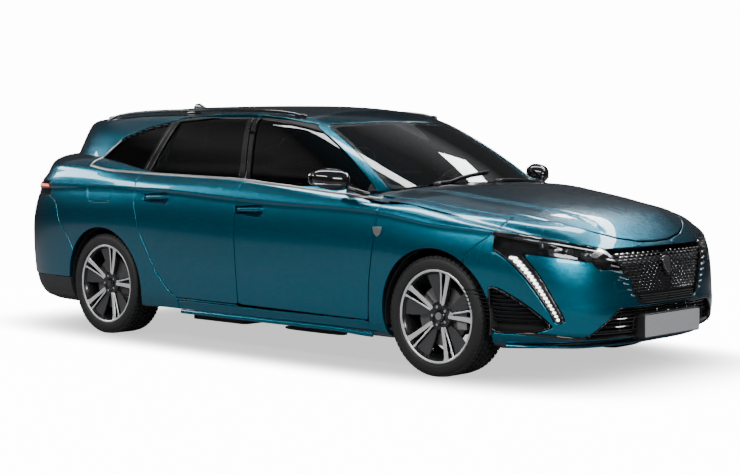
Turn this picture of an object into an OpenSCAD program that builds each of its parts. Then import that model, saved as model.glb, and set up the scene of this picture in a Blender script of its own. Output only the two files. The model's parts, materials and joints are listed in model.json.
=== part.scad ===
// Five-door station wagon, millimetres. +X forward, +Y left, +Z up.
// The origin is on the floor under the middle of the car.

/* [Overall] */
// Length over the bumpers
body_len = 4636; // [3900:1:5600]
// Width over the wheel arches, without mirrors
body_w = 1852; // [1550:1:2250]
// Height of the roof above the floor
body_h = 1442; // [1250:1:1750]
// Distance between the front and rear axles
wheelbase = 2732; // [2600:1:3200]
// Distance from the front axle to the nose
front_overhang = 866; // [760:1:1040]

/* [Wheels] */
// Outer diameter of the tyres
tyre_d = 637; // [560:1:700]
// Section width of the tyres
tyre_w = 225; // [185:1:265]
// Diameter of the rim where the tyre sits
rim_d = 470; // [400:1:500]
// Distance from the car's middle to the middle of a wheel
half_track = 778; // [700:1:880]
// Space between a tyre and the edge of its wheel arch
arch_gap = 38; // [30:1:60]
// Largest steering angle, degrees
steer_max = 34; // [20:1:36]

/* [Walls and gaps] */
// Gap round each opening panel
shut_gap = 6; // [5:0.5:8]
// Thickness of a door below its window
door_t = 96; // [70:1:116]
// Thickness of a window frame
frame_t = 40; // [30:1:50]
// Thickness of the roof and the bonnet
lid_t = 24; // [15:1:32]
// Thickness of the fenders and bumpers
wing_t = 26; // [18:1:36]
// Thickness of the tailgate
gate_t = 54; // [40:1:70]
// Thickness of the glass
glass_t = 5; // [4:0.5:8]
// Thickness of the floor
floor_t = 50; // [40:1:80]

/* [Cabin] */
// Width of a front seat
seat_w = 500; // [430:1:560]
// Diameter of the steering wheel
hand_wheel_d = 350; // [330:1:400]

/* [Hidden] */

// ---- colours ----
paint = [0.02, 0.30, 0.38];
dark = [0.08, 0.08, 0.09];
trim = [0.16, 0.16, 0.17];
tinted = [0.10, 0.12, 0.14];
clear_glass = [0.45, 0.52, 0.55];
metal = [0.62, 0.63, 0.65];
rubber = [0.05, 0.05, 0.05];
cloth = [0.20, 0.20, 0.22];
lamp_red = [0.6, 0.05, 0.04];

// ---- the design grid, which is stretched onto the real sizes ----
grid_front_axle = 1452;
grid_rear_axle = -1280;
grid_front_overhang = 866;
grid_rear_overhang = 1038;
grid_half_w = 926;
grid_h = 1442;
nose_x = body_len / 2;
front_axle_x = nose_x - front_overhang;
rear_axle_x = front_axle_x - wheelbase;
rear_overhang = rear_axle_x + body_len / 2;
tyre_r = tyre_d / 2;
arch_r = tyre_r + arch_gap;

function gx(x) = x > grid_front_axle
    ? front_axle_x + (x - grid_front_axle) * front_overhang / grid_front_overhang
    : x > grid_rear_axle
    ? rear_axle_x + (x - grid_rear_axle) * wheelbase / (grid_front_axle - grid_rear_axle)
    : rear_axle_x + (x - grid_rear_axle) * rear_overhang / grid_rear_overhang;
function gy(y) = y * body_w / 2 / grid_half_w;
function gz(z) = z * body_h / grid_h;
function grid_xz(p) = [for (q = p) [gx(q[0]), gz(q[1])]];
function grid_xy(p) = [for (q = p) [gx(q[0]), gy(q[1])]];
function grid_yz(p) = [for (q = p) [gy(q[0]), gz(q[1])]];

// ---- smooth curve through hand-set points [x, value], flat beyond its ends ----
function seg(p, x, i = 0) = i >= len(p) - 2 || x < p[i + 1][0] ? i : seg(p, x, i + 1);
function secant(p, i) = (p[i + 1][1] - p[i][1]) / (p[i + 1][0] - p[i][0]);
function slope(p, i) = i == 0 ? secant(p, 0)
    : i == len(p) - 1 ? secant(p, i - 1)
    : (secant(p, i - 1) + secant(p, i)) / 2;
function curve(p, x0) =
    let (x = min(max(x0, p[0][0]), p[len(p) - 1][0]), i = seg(p, x),
         h = p[i + 1][0] - p[i][0], t = (x - p[i][0]) / h)
    p[i][1] * (1 + 2 * t) * (1 - t) * (1 - t) + slope(p, i) * h * t * (1 - t) * (1 - t)
    + p[i + 1][1] * t * t * (3 - 2 * t) + slope(p, i + 1) * h * t * t * (t - 1);
function bump(x, c, w) = let (t = (x - c) / w) exp(-t * t);
function round_pow(v, n) = pow(max(v, 0), 2 / n);

// ---- lower body: rings that run round the car along its feature lines ----
crease = [[-2318, 905], [-2100, 918], [-1600, 933], [-994, 936], [-645, 928], [-64, 896],
    [250, 883], [1044, 857], [1420, 808], [1850, 770], [2050, 722], [2318, 640]];
belt = [[-2318, 1085], [-1460, 1071], [-944, 1024], [-89, 1001], [467, 960], [1014, 915],
    [1352, 872], [1790, 800], [2050, 742], [2318, 655]];
flank_steps = [0, 0.035, 0.09, 0.18, 0.31, 0.45, 0.59, 0.72, 0.84, 0.93, 1];
flank_y = [800, 856, 876, 889, 897, 903, 907, 909, 906, 899, 891];
shoulder_y = [902, 886, 850, 782, 690];
nose_line = [[170, 2060], [190, 2150], [226, 2280], [300, 2316], [350, 2318], [397, 2312],
    [500, 2302], [600, 2286], [670, 2268], [725, 2262], [1160, 2200]];
tail_line = [[170, -2190], [250, -2275], [320, -2304], [450, -2318], [580, -2318], [680, -2310],
    [750, -2292], [810, -2272], [870, -2247], [944, -2215], [1000, -2150], [1160, -2090]];
nose_pow = 3;
tail_pow = 4.6;
turn_front = 1350;
turn_rear = -1280;
body_low = 170;
crease_lip = 20;
flank_count = len(flank_steps);
levels = flank_count + len(shoulder_y) + 1;

function shoulder_z(i, x) = let (c = curve(crease, x), b = curve(belt, x))
    [c, (c + b) / 2, b, b + 38, b + 58][i];
function level_z(k, x) = k < flank_count
    ? body_low + (curve(crease, x) - crease_lip - body_low) * flank_steps[k]
    : k < levels - 1 ? shoulder_z(k - flank_count, x) : 1150;
function flare(x, s) = 15 * bump(x, grid_front_axle, 420) * bump(s, 0.72, 0.35)
    + 18 * bump(x, grid_rear_axle, 520) * bump(s, 0.78, 0.35);
function level_y(k, x) = k < flank_count
    ? flank_y[k] + flare(x, flank_steps[k])
    : shoulder_y[min(k - flank_count, len(shoulder_y) - 1)];
function end_of(k, line, x, n = 6) = n == 0 ? x
    : end_of(k, line, curve(line, level_z(k, x)), n - 1);

front_arc = 9;
side_count = 12;
rear_arc = 8;
half_count = front_arc + side_count + rear_arc;
function ring_half(k, inset) =
    let (nose = end_of(k, nose_line, 2250), tail = end_of(k, tail_line, -2250))
    [for (i = [0:half_count])
        let (front = i <= front_arc, rear = i >= half_count - rear_arc,
             a = front ? 90 * i / front_arc : rear ? 90 * (half_count - i) / rear_arc : 90,
             n = front ? nose_pow : tail_pow,
             cx = round_pow(cos(a), n), cy = round_pow(sin(a), n),
             x = front ? turn_front + (nose - turn_front) * cx
                 : rear ? turn_rear + (tail - turn_rear) * cx
                 : turn_front + (turn_rear - turn_front) * (i - front_arc) / side_count,
             y = level_y(k, x) * cy)
        [gx(x) - inset * cos(a) * (front ? 1 : -1),
         max(gy(y) - inset * sin(a), 0),
         gz(level_z(k, x)) - (k == 0 && inset > 0 ? 40 : 0)]];
function ring_full(h) = concat(h, [for (i = [len(h) - 2:-1:1]) [h[i][0], -h[i][1], h[i][2]]]);

// Closed skin through a stack of rings that have the same number of points
module ring_stack(rings) {
    n = len(rings[0]);
    m = len(rings);
    polyhedron(points = [for (r = rings) each r],
        faces = concat(
            [[for (i = [0:n - 1]) i]],
            [for (k = [0:m - 2], i = [0:n - 1]) each
                [[k * n + i, (k + 1) * n + (i + 1) % n, k * n + (i + 1) % n],
                 [k * n + i, (k + 1) * n + i, (k + 1) * n + (i + 1) % n]]],
            [[for (i = [n - 1:-1:0]) (m - 1) * n + i]]));
}

// Solid below a height field over stations xs and ys of the design grid
module under_field(zs, xs, ys, low) {
    nx = len(xs);
    ny = len(ys);
    up = [for (i = [0:nx - 1], j = [0:ny - 1]) [gx(xs[i]), gy(ys[j]), zs[i][j]]];
    edge = concat([for (j = [0:ny - 1]) j], [for (i = [1:nx - 1]) i * ny + ny - 1],
        [for (j = [ny - 2:-1:0]) (nx - 1) * ny + j], [for (i = [nx - 2:-1:1]) i * ny]);
    e = len(edge);
    polyhedron(points = concat(up, [for (i = edge) [up[i][0], up[i][1], low]]),
        faces = concat(
            [for (i = [0:nx - 2], j = [0:ny - 2]) each
                [[i * ny + j, i * ny + j + 1, (i + 1) * ny + j + 1],
                 [i * ny + j, (i + 1) * ny + j + 1, (i + 1) * ny + j]]],
            [for (i = [0:e - 1]) each
                [[edge[i], nx * ny + i, nx * ny + (i + 1) % e],
                 [edge[i], nx * ny + (i + 1) % e, edge[(i + 1) % e]]]],
            [[for (i = [e - 1:-1:0]) nx * ny + i]]));
}

// ---- bonnet height: a centre line that falls towards the fenders and the nose ----
deck_line = [[-2400, 1140], [700, 1120], [860, 1030], [1000, 997], [1135, 989], [1331, 981],
    [1500, 956], [1818, 903], [1974, 868], [2060, 836], [2130, 790], [2200, 725], [2260, 655],
    [2400, 540]];
function deck_z(x, y) = let (s = abs(y) / 780)
    curve(deck_line, x + 90 * pow(s, 2)) - 60 * pow(s, 3.5);
deck_xs = [-2400, 700, 800, 900, 1000, 1135, 1250, 1400, 1550, 1700, 1830, 1940, 2030, 2090,
    2140, 2190, 2240, 2290, 2400];
deck_half_ys = [150, 300, 430, 560, 680, 780, 860, 950];
deck_ys = concat([for (i = [len(deck_half_ys) - 1:-1:0]) -deck_half_ys[i]], [0], deck_half_ys);

// ---- cabin: level rings, cut by the roof's height ----
cabin_zs = [850, 960, 1060, 1150, 1230, 1300, 1350, 1400, 1480];
cabin_y = [[850, 866], [1000, 850], [1100, 806], [1200, 758], [1300, 702], [1360, 655],
    [1400, 612], [1480, 530]];
screen_line = [[850, 1290], [970, 1100], [1100, 890], [1200, 712], [1312, 490], [1360, 385],
    [1400, 270], [1480, 60]];
gate_line = [[850, -2180], [1000, -2130], [1100, -2085], [1200, -2050], [1300, -2018],
    [1360, -2000], [1480, -1965]];
screen_pow = 8;
gate_pow = 3.6;
screen_turn = 700;
screen_sag = 150;
function cabin_narrow(x) = 1 - 0.13 * pow(max(0, -600 - x) / 1400, 2)
    - 0.09 * pow(max(0, x - 100) / 700, 2);
cabin_side_count = 9;
cabin_arc = 9;
cabin_half = 2 * cabin_arc + cabin_side_count;
function cabin_ring(z, inset) =
    let (xf = curve(screen_line, z), x0 = xf - screen_turn, xr = curve(gate_line, z),
         w = curve(cabin_y, z))
    [for (i = [0:cabin_half])
        let (front = i <= cabin_arc, rear = i >= cabin_half - cabin_arc,
             a = front ? 90 * pow(i / cabin_arc, 2) : rear ? 90 * (cabin_half - i) / cabin_arc : 90,
             n = front ? screen_pow : gate_pow,
             sag = screen_sag * pow(round_pow(sin(a), n), 2),
             x = front ? x0 + (xf - x0 - sag) * round_pow(cos(a), n)
                 : rear ? turn_rear + (xr - turn_rear) * round_pow(cos(a), n)
                 : x0 + (turn_rear - x0) * (i - cabin_arc) / cabin_side_count,
             y = w * cabin_narrow(x) * round_pow(sin(a), n))
        [gx(x) - 1.15 * inset * cos(a) * (front ? 1 : -1),
         max(gy(y) - 1.08 * inset * sin(a), 0), gz(z)]];
roof_line = [[-2318, 1290], [-2050, 1360], [-1900, 1382], [-1600, 1413], [-1277, 1435],
    [-787, 1442], [-368, 1440], [0, 1431], [200, 1414], [400, 1385], [600, 1345], [900, 1270]];
function roof_z(x, y) = curve(roof_line, x) - 50 * pow(abs(y) / 555, 2.2);
roof_xs = [-2318, -2150, -2050, -1900, -1700, -1500, -1200, -900, -600, -300, 0, 200, 330, 460,
    600, 900, 1400];
roof_half_ys = [140, 280, 400, 500, 580, 650, 720, 950];
roof_ys = concat([for (i = [len(roof_half_ys) - 1:-1:0]) -roof_half_ys[i]], [0], roof_half_ys);

// The whole closed body, its skin moved inwards by a wall
module body(inset = 0) {
    intersection() {
        ring_stack([for (k = [0:levels - 1]) ring_full(ring_half(k, inset))]);
        under_field([for (x = deck_xs) [for (y = deck_ys) gz(deck_z(x, y)) - inset]],
            deck_xs, deck_ys, 0);
    }
    intersection() {
        ring_stack([for (z = cabin_zs) ring_full(cabin_ring(z, inset))]);
        under_field([for (x = roof_xs) [for (y = roof_ys) gz(roof_z(x, y)) - inset]],
            roof_xs, roof_ys, 0);
    }
}
module shell(outer, inner) {
    difference() {
        body(outer);
        body(inner);
    }
}

// One welded mesh of everything beneath it
module mesh() {
    resize([0, 0, 0]) children();
}

// Cutters: an outline seen from the right side, from above, or from the front
module side_cut(outline, grow = 0, near = 1300, far = 300) {
    translate([0, -far, 0]) rotate([90, 0, 0]) linear_extrude(near - far)
        offset(delta = grow) polygon(grid_xz(outline));
}
module plan_cut(outline, grow = 0, low = 500, high = 1600) {
    translate([0, 0, low]) linear_extrude(high - low)
        offset(delta = grow) polygon(grid_xy(outline));
}
module front_cut(outline, back, ahead, grow = 0) {
    translate([back, 0, 0]) rotate([90, 0, 90]) linear_extrude(ahead - back)
        offset(delta = grow) polygon(grid_yz(outline));
}
function both(outline) = concat(outline, [for (i = [len(outline) - 1:-1:0])
    [outline[i][0], -outline[i][1]]]);
function both_y(outline) = concat(outline, [for (i = [len(outline) - 1:-1:0])
    [-outline[i][0], outline[i][1]]]);
module pair() {
    children();
    mirror([0, 1, 0]) children();
}
module arch_hole(x, extra = 0, inner = 300) {
    translate([x, -inner, tyre_r]) rotate([90, 0, 0])
        cylinder(r = arch_r + extra, h = 1300 - inner, $fn = 96);
}

// ---- outlines of the opening panels, on the design grid ----
door_split = [[-153, 1379], [-14, 1004], [-47, 934], [-55, 721], [-47, 455], [-43, 274]];
front_door_edge = [[986, 262], [1003, 455], [1036, 642], [1061, 851], [1086, 918], [1070, 958]];
front_door_top = [[925, 1066], [800, 1134], [645, 1211], [456, 1287], [310, 1323],
    [105, 1356], [-93, 1374]];
front_door = concat(front_door_edge, front_door_top, door_split);
rear_door_top = [[-832, 1352], [-795, 1360], [-496, 1381]];
rear_door_edge = [[-43, 274], [-590, 276], [-663, 321], [-769, 426], [-897, 659], [-950, 827],
    [-959, 954], [-944, 1024]];
rear_door = concat([for (i = [0:len(door_split) - 1]) door_split[i]],
    [for (i = [1:len(rear_door_edge) - 1]) rear_door_edge[i]], rear_door_top);
window_low = [[1014, 918], [467, 962], [265, 978], [-89, 1003], [-462, 1013], [-944, 1026],
    [-1271, 1042], [-1462, 1073]];
window_top = [[-1440, 1115], [-1275, 1228], [-1046, 1294], [-795, 1336], [-496, 1359],
    [-93, 1353], [101, 1335], [300, 1300], [440, 1265], [627, 1188], [782, 1111], [912, 1040],
    [1010, 957]];
window_band = concat(window_low, window_top);
function pillar(lean_low, lean_high, ahead, behind) = [[lean_low + ahead, 900],
    [lean_high + ahead, 1450], [lean_high - behind, 1450], [lean_low - behind, 900]];
b_post = pillar(20, -172, 40, 52);
c_post = pillar(-978, -797, 42, 34);
mirror_sail = [[1120, 880], [1120, 1100], [790, 1140], [860, 985], [862, 880]];
bonnet_half = [[1132, 0], [1125, 300], [1090, 520], [1030, 680], [962, 752], [975, 768],
    [1200, 772], [1450, 762], [1650, 738], [1800, 700], [1930, 630], [2040, 530], [2120, 430],
    [2180, 300], [2212, 150], [2220, 0]];

waist_z = gz(985);
module height_band(low, high) { translate([-3000, -2000, low]) cube([6000, 4000, high - low]); }
module door_shell(outline) {
    difference() {
        union() {
            intersection() {
                shell(0, door_t);
                side_cut(outline, -shut_gap / 2, 1300, gy(740));
                height_band(0, waist_z);
            }
            intersection() {
                shell(0, frame_t);
                side_cut(outline, -shut_gap / 2, 1300, 600);
                height_band(waist_z - 1, 2000);
            }
        }
        arch_hole(rear_axle_x, shut_gap);
        plan_cut(both(screen_edge), 62, 940);
        translate([gx(850), -gy(790), gz(860)]) cube([400, gy(790), waist_z - gz(860)]);
    }
}

// Hinge leaves: blocks on a door's inner face that meet the post behind it
leaf_w = 40;
leaf_h = 60;
leaf_zs = [380, 760];
front_leaf_x = 955;
rear_leaf_x = -110;
module door_leaves(x) {
    for (z = leaf_zs)
        intersection() {
            translate([gx(x) - leaf_w / 2, -1000, gz(z)]) cube([leaf_w, 400, leaf_h]);
            shell(door_t - 1, door_t + seal_gap - fit);
        }
}

module front_door_right() {
    color(paint) mesh() {
        door_leaves(front_leaf_x);
        front_door_panel();
    }
}
edge_skin = 14;
edge_step = 16;
split_edge = concat([for (p = door_split) [p[0] - 30, p[1]]],
    [for (i = [len(door_split) - 1:-1:0]) [door_split[i][0] + edge_step, door_split[i][1]]]);
module front_door_panel() {
    difference() {
        door_shell(front_door);
        intersection() {
            side_cut(window_band);
            difference() {
                side_cut([[1100, 890], [1100, 1400], [-300, 1400], [-300, 890]]);
                side_cut(b_post);
                side_cut(mirror_sail);
            }
        }
        // the inner part of the rear edge is set back, so that it swings clear of the rear door
        intersection() {
            shell(edge_skin, door_t + 1);
            side_cut(split_edge, 0, 1300, 500);
        }
    }
}
module rear_door_right() {
    color(paint) mesh() {
        door_leaves(rear_leaf_x);
        rear_door_panel();
    }
}
module rear_door_panel() {
    difference() {
        door_shell(rear_door);
        intersection() {
            side_cut(window_band);
            difference() {
                side_cut([[0, 890], [0, 1450], [-1000, 1450], [-1000, 890]]);
                side_cut(b_post);
                side_cut(c_post);
            }
        }
    }
}

// Door windows sit inside their frames, a little behind the skin
glass_set = 12;
glass_play = 0.3;
module door_glass(outline) {
    color(tinted) mesh() intersection() {
        shell(glass_set, glass_set + glass_t);
        difference() {
            side_cut(window_band, -glass_play);
            side_cut(b_post, glass_play);
            side_cut(c_post, glass_play);
            side_cut(mirror_sail, glass_play);
        }
        side_cut(outline);
    }
}
module front_glass_right() { door_glass([[1100, 890], [1100, 1450], [-160, 1450], [0, 890]]); }
module rear_glass_right() { door_glass([[0, 890], [-150, 1450], [-830, 1450], [-960, 890]]); }
module quarter_windows() {
    color(tinted) mesh() pair() intersection() {
        shell(glass_set, glass_set + glass_t);
        difference() {
            side_cut(window_band, -glass_play);
            side_cut(c_post, glass_play);
        }
        side_cut([[-1000, 890], [-820, 1450], [-1700, 1450], [-1700, 890]]);
    }
}

module front_door_left() { mirror([0, 1, 0]) front_door_right(); }
module rear_door_left() { mirror([0, 1, 0]) rear_door_right(); }
module front_glass_left() { mirror([0, 1, 0]) front_glass_right(); }
module rear_glass_left() { mirror([0, 1, 0]) rear_glass_right(); }

// ---- door mirrors, on a foot at the window's front corner ----
mirror_x = 735;
mirror_y = 940;
mirror_z = 1018;
module mirror_right() {
    color(dark) mesh() {
        hull() {
            translate([gx(mirror_x - 35), -gy(mirror_y - 40), gz(mirror_z)])
                scale([0.6, 0.7, 1]) sphere(r = 52, $fn = 14);
            translate([gx(mirror_x - 35), -gy(mirror_y + 50), gz(mirror_z - 4)])
                scale([0.6, 0.7, 1]) sphere(r = 44, $fn = 14);
            translate([gx(mirror_x + 40), -gy(mirror_y + 10), gz(mirror_z)])
                sphere(r = 24, $fn = 12);
        }
        difference() {
            hull() {
                translate([gx(mirror_x + 10), -gy(mirror_y - 30), gz(mirror_z - 42)])
                    sphere(r = 14, $fn = 12);
                translate([gx(mirror_x + 175), -gy(810), gz(mirror_z - 68)])
                    sphere(r = 22, $fn = 12);
            }
            body(-0.3);
        }
    }
}
module mirror_left() { mirror([0, 1, 0]) mirror_right(); }

// ---- body sides: sills, posts, roof edges and the rear quarters ----
post_t = 36;
seal_gap = 8;
liner_t = 5;
fit = 0.3;
flange = 45;
sill_top = 262;
sill = [[992, 150], [992, sill_top], [-585, sill_top], [-570, 150]];
posts = [[1040, 200], [1120, 880], [1060, 985], [880, 1110], [640, 1230], [440, 1310], [100, 1372],
    [-93, 1395], [-496, 1400], [-820, 1390], [-1010, 1020], [-1010, 830], [-960, 660],
    [-840, 480], [-700, 330], [-640, 200]];
quarter = concat(rear_door_edge,
    [[-832, 1352], [-795, 1360], [-780, 1460], [-2330, 1460], [-2330, 957], [-1850, 957],
     [-1850, 868], [-1758, 823], [-1714, 697], [-1640, 628],
     [-1500, 400], [-1000, 260], [-600, 150], [-43, 150]]);
roof_edge_y = 560;
roof_side = concat([[1070, 958]], front_door_top, [[-153, 1379], [-496, 1381], [-795, 1360],
    [-832, 1352], [-832, 1500], [455, 1500], [900, 1230], [1100, 1040], [1085, 965]]);
module doors_grown(grow) {
    side_cut(front_door, grow);
    side_cut(rear_door, grow);
}
module window_holes(grow) {
    difference() {
        side_cut(window_band, grow);
        side_cut(b_post);
        side_cut(c_post);
    }
}
module body_side_right() {
    difference() {
        union() {
            intersection() {
                shell(0, 150);
                side_cut(sill);
            }
            intersection() {
                union() {
                    intersection() {
                        shell(door_t + seal_gap, door_t + seal_gap + post_t);
                        height_band(0, waist_z + post_t);
                    }
                    intersection() {
                        shell(frame_t + seal_gap, frame_t + seal_gap + post_t);
                        height_band(waist_z + seal_gap, 2000);
                    }
                    intersection() {
                        shell(frame_t + seal_gap, door_t + seal_gap + post_t);
                        height_band(waist_z + seal_gap, waist_z + post_t);
                    }
                }
                difference() {
                    union() {
                        intersection() {
                            side_cut(posts, 0, 1300, 700);
                            height_band(0, waist_z + 1);
                        }
                        intersection() {
                            side_cut(posts, 0, 1300, roof_edge_y + 28);
                            height_band(waist_z, 2000);
                        }
                    }
                    doors_grown(-flange);
                }
            }
            intersection() {
                shell(0, frame_t + seal_gap + 6);
                difference() {
                    side_cut(roof_side, 0, 1300, 500);
                    doors_grown(shut_gap / 2);
                    plan_cut(both(screen_edge), fit, 940);
                    plan_cut(cowl_outline, fit, 900);
                    translate([gx(1040), -640, 0]) cube([500, 1280, 2000]);
                    translate([-3000, -roof_edge_y, 0]) cube([3000 + gx(455), 2 * roof_edge_y, 2000]);
                }
            }
            intersection() {
                shell(0, wing_t);
                difference() {
                    side_cut(quarter, 0, 1300, 400);
                    translate([-1900, -roof_edge_y, 0]) cube([1900, 2 * roof_edge_y, 2000]);
                    side_cut(rear_door, shut_gap / 2);
                }
            }
        }
        arch_hole(rear_axle_x, liner_t + fit);
        arch_hole(front_axle_x, liner_t + 20);
        window_holes(0);
        gate_zone(shut_gap / 2);
        fuel_flap_hole();
    }
}
module body_sides() {
    color(paint) mesh() pair() body_side_right();
}

// ---- fuel flap in the right quarter ----
flap = [[-1442, 957], [-1410, 842], [-1295, 830], [-1185, 850], [-1157, 960]];
flap_t = 6;
module fuel_flap_hole() {
    intersection() {
        shell(-20, wing_t - flap_t);
        side_cut(flap, 2.5, 1300, 600);
    }
}
module fuel_flap() {
    color(paint) mesh() {
        intersection() {
            shell(0, flap_t);
            side_cut(flap, -2.5, 1300, 600);
        }
        intersection() {
            translate([gx(-1215), -1000, gz(880)]) cube([16, 400, 30]);
            shell(flap_t - 1, wing_t - flap_t - 2 * fit);
        }
    }
}

// ---- roof between its edges, with the windscreen's header ----
roof_rear = -1830;
screen_edge = [[1108, 0], [1085, 300], [1030, 520], [975, 650], [940, 672], [760, 638], [560, 598],
    [366, 560], [420, 300], [440, 0]];
module roof() {
    color(paint) mesh() intersection() {
        shell(0, lid_t);
        difference() {
            plan_cut([[455, -roof_edge_y], [455, roof_edge_y], [roof_rear, roof_edge_y],
                [roof_rear, -roof_edge_y]], -fit / 2, 1250);
            plan_cut(both(screen_edge), fit, 1200);
        }
    }
}
module windscreen() {
    color(clear_glass) mesh() intersection() {
        shell(1, 1 + glass_t);
        plan_cut(both(screen_edge), -fit, 940);
        difference() {
            translate([-3000, -1000, gz(955)]) cube([6000, 2000, 600]);
            pair() doors_grown(shut_gap);
        }
    }
}

// Two rails that follow the roof's edge, and a fin aerial
rail_y = 585;
rail_pts = [[-1560, 22], [-1500, 34], [-1200, 40], [-700, 42], [-200, 40], [120, 30], [215, 20]];
module roof_trim() {
    color(dark) {
        mesh() pair() difference() {
            intersection() {
                body(-26);
                plan_cut([[-1640, 568], [-1640, 598], [230, 598], [230, 568]], 0, 1200, 1500);
            }
            body(-2 * fit);
        }
        mesh() difference() {
            translate([gx(-1427), 0, 0]) rotate([90, 0, 0])
                translate([0, 0, -9]) linear_extrude(18)
                polygon([[0, gz(1420)], [0, gz(1420) + 24], [20, gz(1442) + 38],
                    [75, gz(1442) + 30], [165, gz(1425)]]);
            body(-fit);
        }
    }
}

// ---- front end ----
bumper_seam = [[1640, 560], [1672, 659], [1824, 774], [1800, 830]];
fender = [[992, 150], [986, 262], [1003, 455], [1036, 642], [1061, 851], [1086, 918],
    [1070, 958], [1000, 1000], [930, 1060], [900, 1000], [900, 985], [1800, 985], [1824, 774],
    [1672, 659], [1640, 560], [1500, 150]];
module front_fenders() {
    color(paint) mesh() difference() {
        intersection() {
            shell(0, wing_t);
            union() {
                pair() intersection() {
                    side_cut(fender, 0, 1300, 600);
                    translate([gx(925), -1300, 0]) cube([2000, 1300, 1300]);
                }
                front_cut(nose_zone, gx(lamp_back_x), 2600);
            }
        }
        pair() {
            side_cut(front_door, shut_gap / 2, 1300, gy(784));
            side_cut(sill, fit);
            side_cut(roof_side, fit);
            arch_hole(front_axle_x, liner_t + fit);
        }
        plan_cut(both(bonnet_half), shut_gap / 2, 600);
        plan_cut(cowl_outline, fit, 900);
        plan_cut(both(screen_edge), 0, 940);
    }
}
cowl_outline = both([[1128, 0], [1121, 300], [1086, 520], [1026, 678], [958, 745], [930, 745], [940, 672],
    [975, 650], [1030, 520], [1085, 300], [1108, 0]]);
module cowl() {
    color(dark) mesh() intersection() {
        shell(4, 40);
        plan_cut(cowl_outline, -fit, 850);
    }
}
module bonnet() {
    color(paint) mesh() {
        intersection() {
            shell(0, lid_t);
            plan_cut(both(bonnet_half), -shut_gap / 2, 600);
        }
        // hinge leaves that meet the cowl
        pair() difference() {
            intersection() {
                shell(8, lid_t);
                translate([gx(1000), -640, 800]) cube([100, 40, 300]);
            }
            plan_cut(cowl_outline, 0, 800);
        }
    }
}
grille = [[437, 680], [277, 412], [240, 398]];
grille_out = both_y(grille);
lamp_top = [[437, 680], [620, 722], [800, 768], [950, 790]];
lamp_low = [[950, 700], [866, 676], [724, 322], [700, 318], [690, 332], [815, 668], [700, 648],
    [560, 622], [520, 584], [368, 572]];
lamp = concat(lamp_top, lamp_low);
lamp_back_x = 1820;
nose_zone = concat([for (i = [len(lamp_top) - 1:-1:0]) [-lamp_top[i][0], lamp_top[i][1]]],
    lamp_top, [[950, 1000], [-950, 1000]]);
intake_low = [[-418, 386], [418, 386], [612, 228], [-612, 228]];
intake_side = [[728, 300], [790, 258], [850, 262], [905, 340], [915, 470], [872, 500]];
module bumper_zone() {
    side_cut([[1640, 560], [1672, 659], [1824, 774], [1840, 1000], [2400, 1000], [2400, 100],
        [1500, 100]], 0, 1300, -1300);
}
module front_bumper() {
    color(paint) mesh() difference() {
        intersection() {
            shell(0, wing_t);
            bumper_zone();
        }
        pair() side_cut(fender, fit, 1300, 500);
        front_cut(nose_zone, gx(lamp_back_x), 2600, fit);
        plan_cut(both(bonnet_half), shut_gap / 2, 600);
        front_cut(grille_out, 1900, 2600);
        front_cut(intake_low, 1900, 2600);
        pair() front_cut(lamp, gx(lamp_back_x), 2600);
        pair() front_cut(intake_side, 1950, 2600);
        pair() arch_hole(front_axle_x, liner_t + fit);
    }
}
module grilles() {
    color(dark) mesh() intersection() {
        shell(14, 40);
        translate([2000, -1000, 0]) cube([600, 2000, 720]);
        union() {
            front_cut(grille_out, 1900, 2600, -fit);
            front_cut(intake_low, 1900, 2600, -fit);
            pair() front_cut(intake_side, 1950, 2600, -fit);
        }
    }
}
module headlamps() {
    color(dark) mesh() pair() difference() {
        intersection() {
            shell(2, 60);
            bumper_zone();
            front_cut(lamp, gx(lamp_back_x), 2600, -fit);
        }
        side_cut(fender, fit, 1300, 500);
        plan_cut(both(bonnet_half), shut_gap / 2, 600);
        front_cut(nose_zone, gx(lamp_back_x), 2600, fit);
        front_cut(grille_out, 1900, 2600);
    }
}

// ---- rear end ----
rear_bumper_side = [[-2400, 100], [-2400, 868], [-1850, 868], [-1758, 823], [-1714, 697],
    [-1640, 628], [-1500, 400], [-1560, 100]];
module rear_bumper() {
    color(paint) mesh() difference() {
        intersection() {
            shell(0, wing_t);
            union() {
                side_cut(rear_bumper_side, 0, 1300, -1300);
            }
        }
        gate_zone(shut_gap / 2);
        pair() side_cut(quarter, fit, 1300, 400);
        pair() lamp_zone(fit);
        pair() arch_hole(rear_axle_x, liner_t + fit);
    }
}
lamp_side = [[-1850, 868], [-1850, 957], [-2400, 957], [-2400, 868]];
lamp_band = [[-720, 868], [720, 868], [720, 957], [-720, 957]];
module lamp_zone(grow = 0) { side_cut(lamp_side, grow, 1300, 500); }
gate_side = [[590, 640], [610, 840], [690, 868], [700, 960], [618, 1002], [618, 1110], [568, 1360],
    [560, 1500]];
gate_front_view = both_y(gate_side);
module gate_zone(grow = 0) {
    intersection() {
        front_cut(gate_front_view, -2600, -1000, grow);
        translate([-2600, -1000, 500]) cube([2600 + gx(roof_rear) - shut_gap / 2 - 2 + grow, 2000, 1000]);
    }
}
gate_glass_view = [[-505, 1335], [505, 1335], [565, 1050], [-565, 1050]];
module tailgate() {
    color(paint) mesh() difference() {
        union() {
            intersection() {
                shell(0, gate_t);
                gate_zone(-shut_gap / 2);
            }
            // hinge leaves that meet the roof
            pair() intersection() {
                shell(8, lid_t);
                translate([gx(roof_rear) - 40, -440, 1200]) cube([40 - fit, 40, 300]);
            }
        }
        front_cut(gate_glass_view, -2600, -1500);
        intersection() {
            shell(-10, 40 + fit);
            front_cut(lamp_band, -2600, -1500);
        }
    }
}
module tailgate_glass() {
    color(tinted) mesh() intersection() {
        shell(6, 6 + glass_t);
        front_cut(gate_glass_view, -2600, -1500, -fit);
        gate_zone(-shut_gap / 2 - fit);
    }
}
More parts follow.
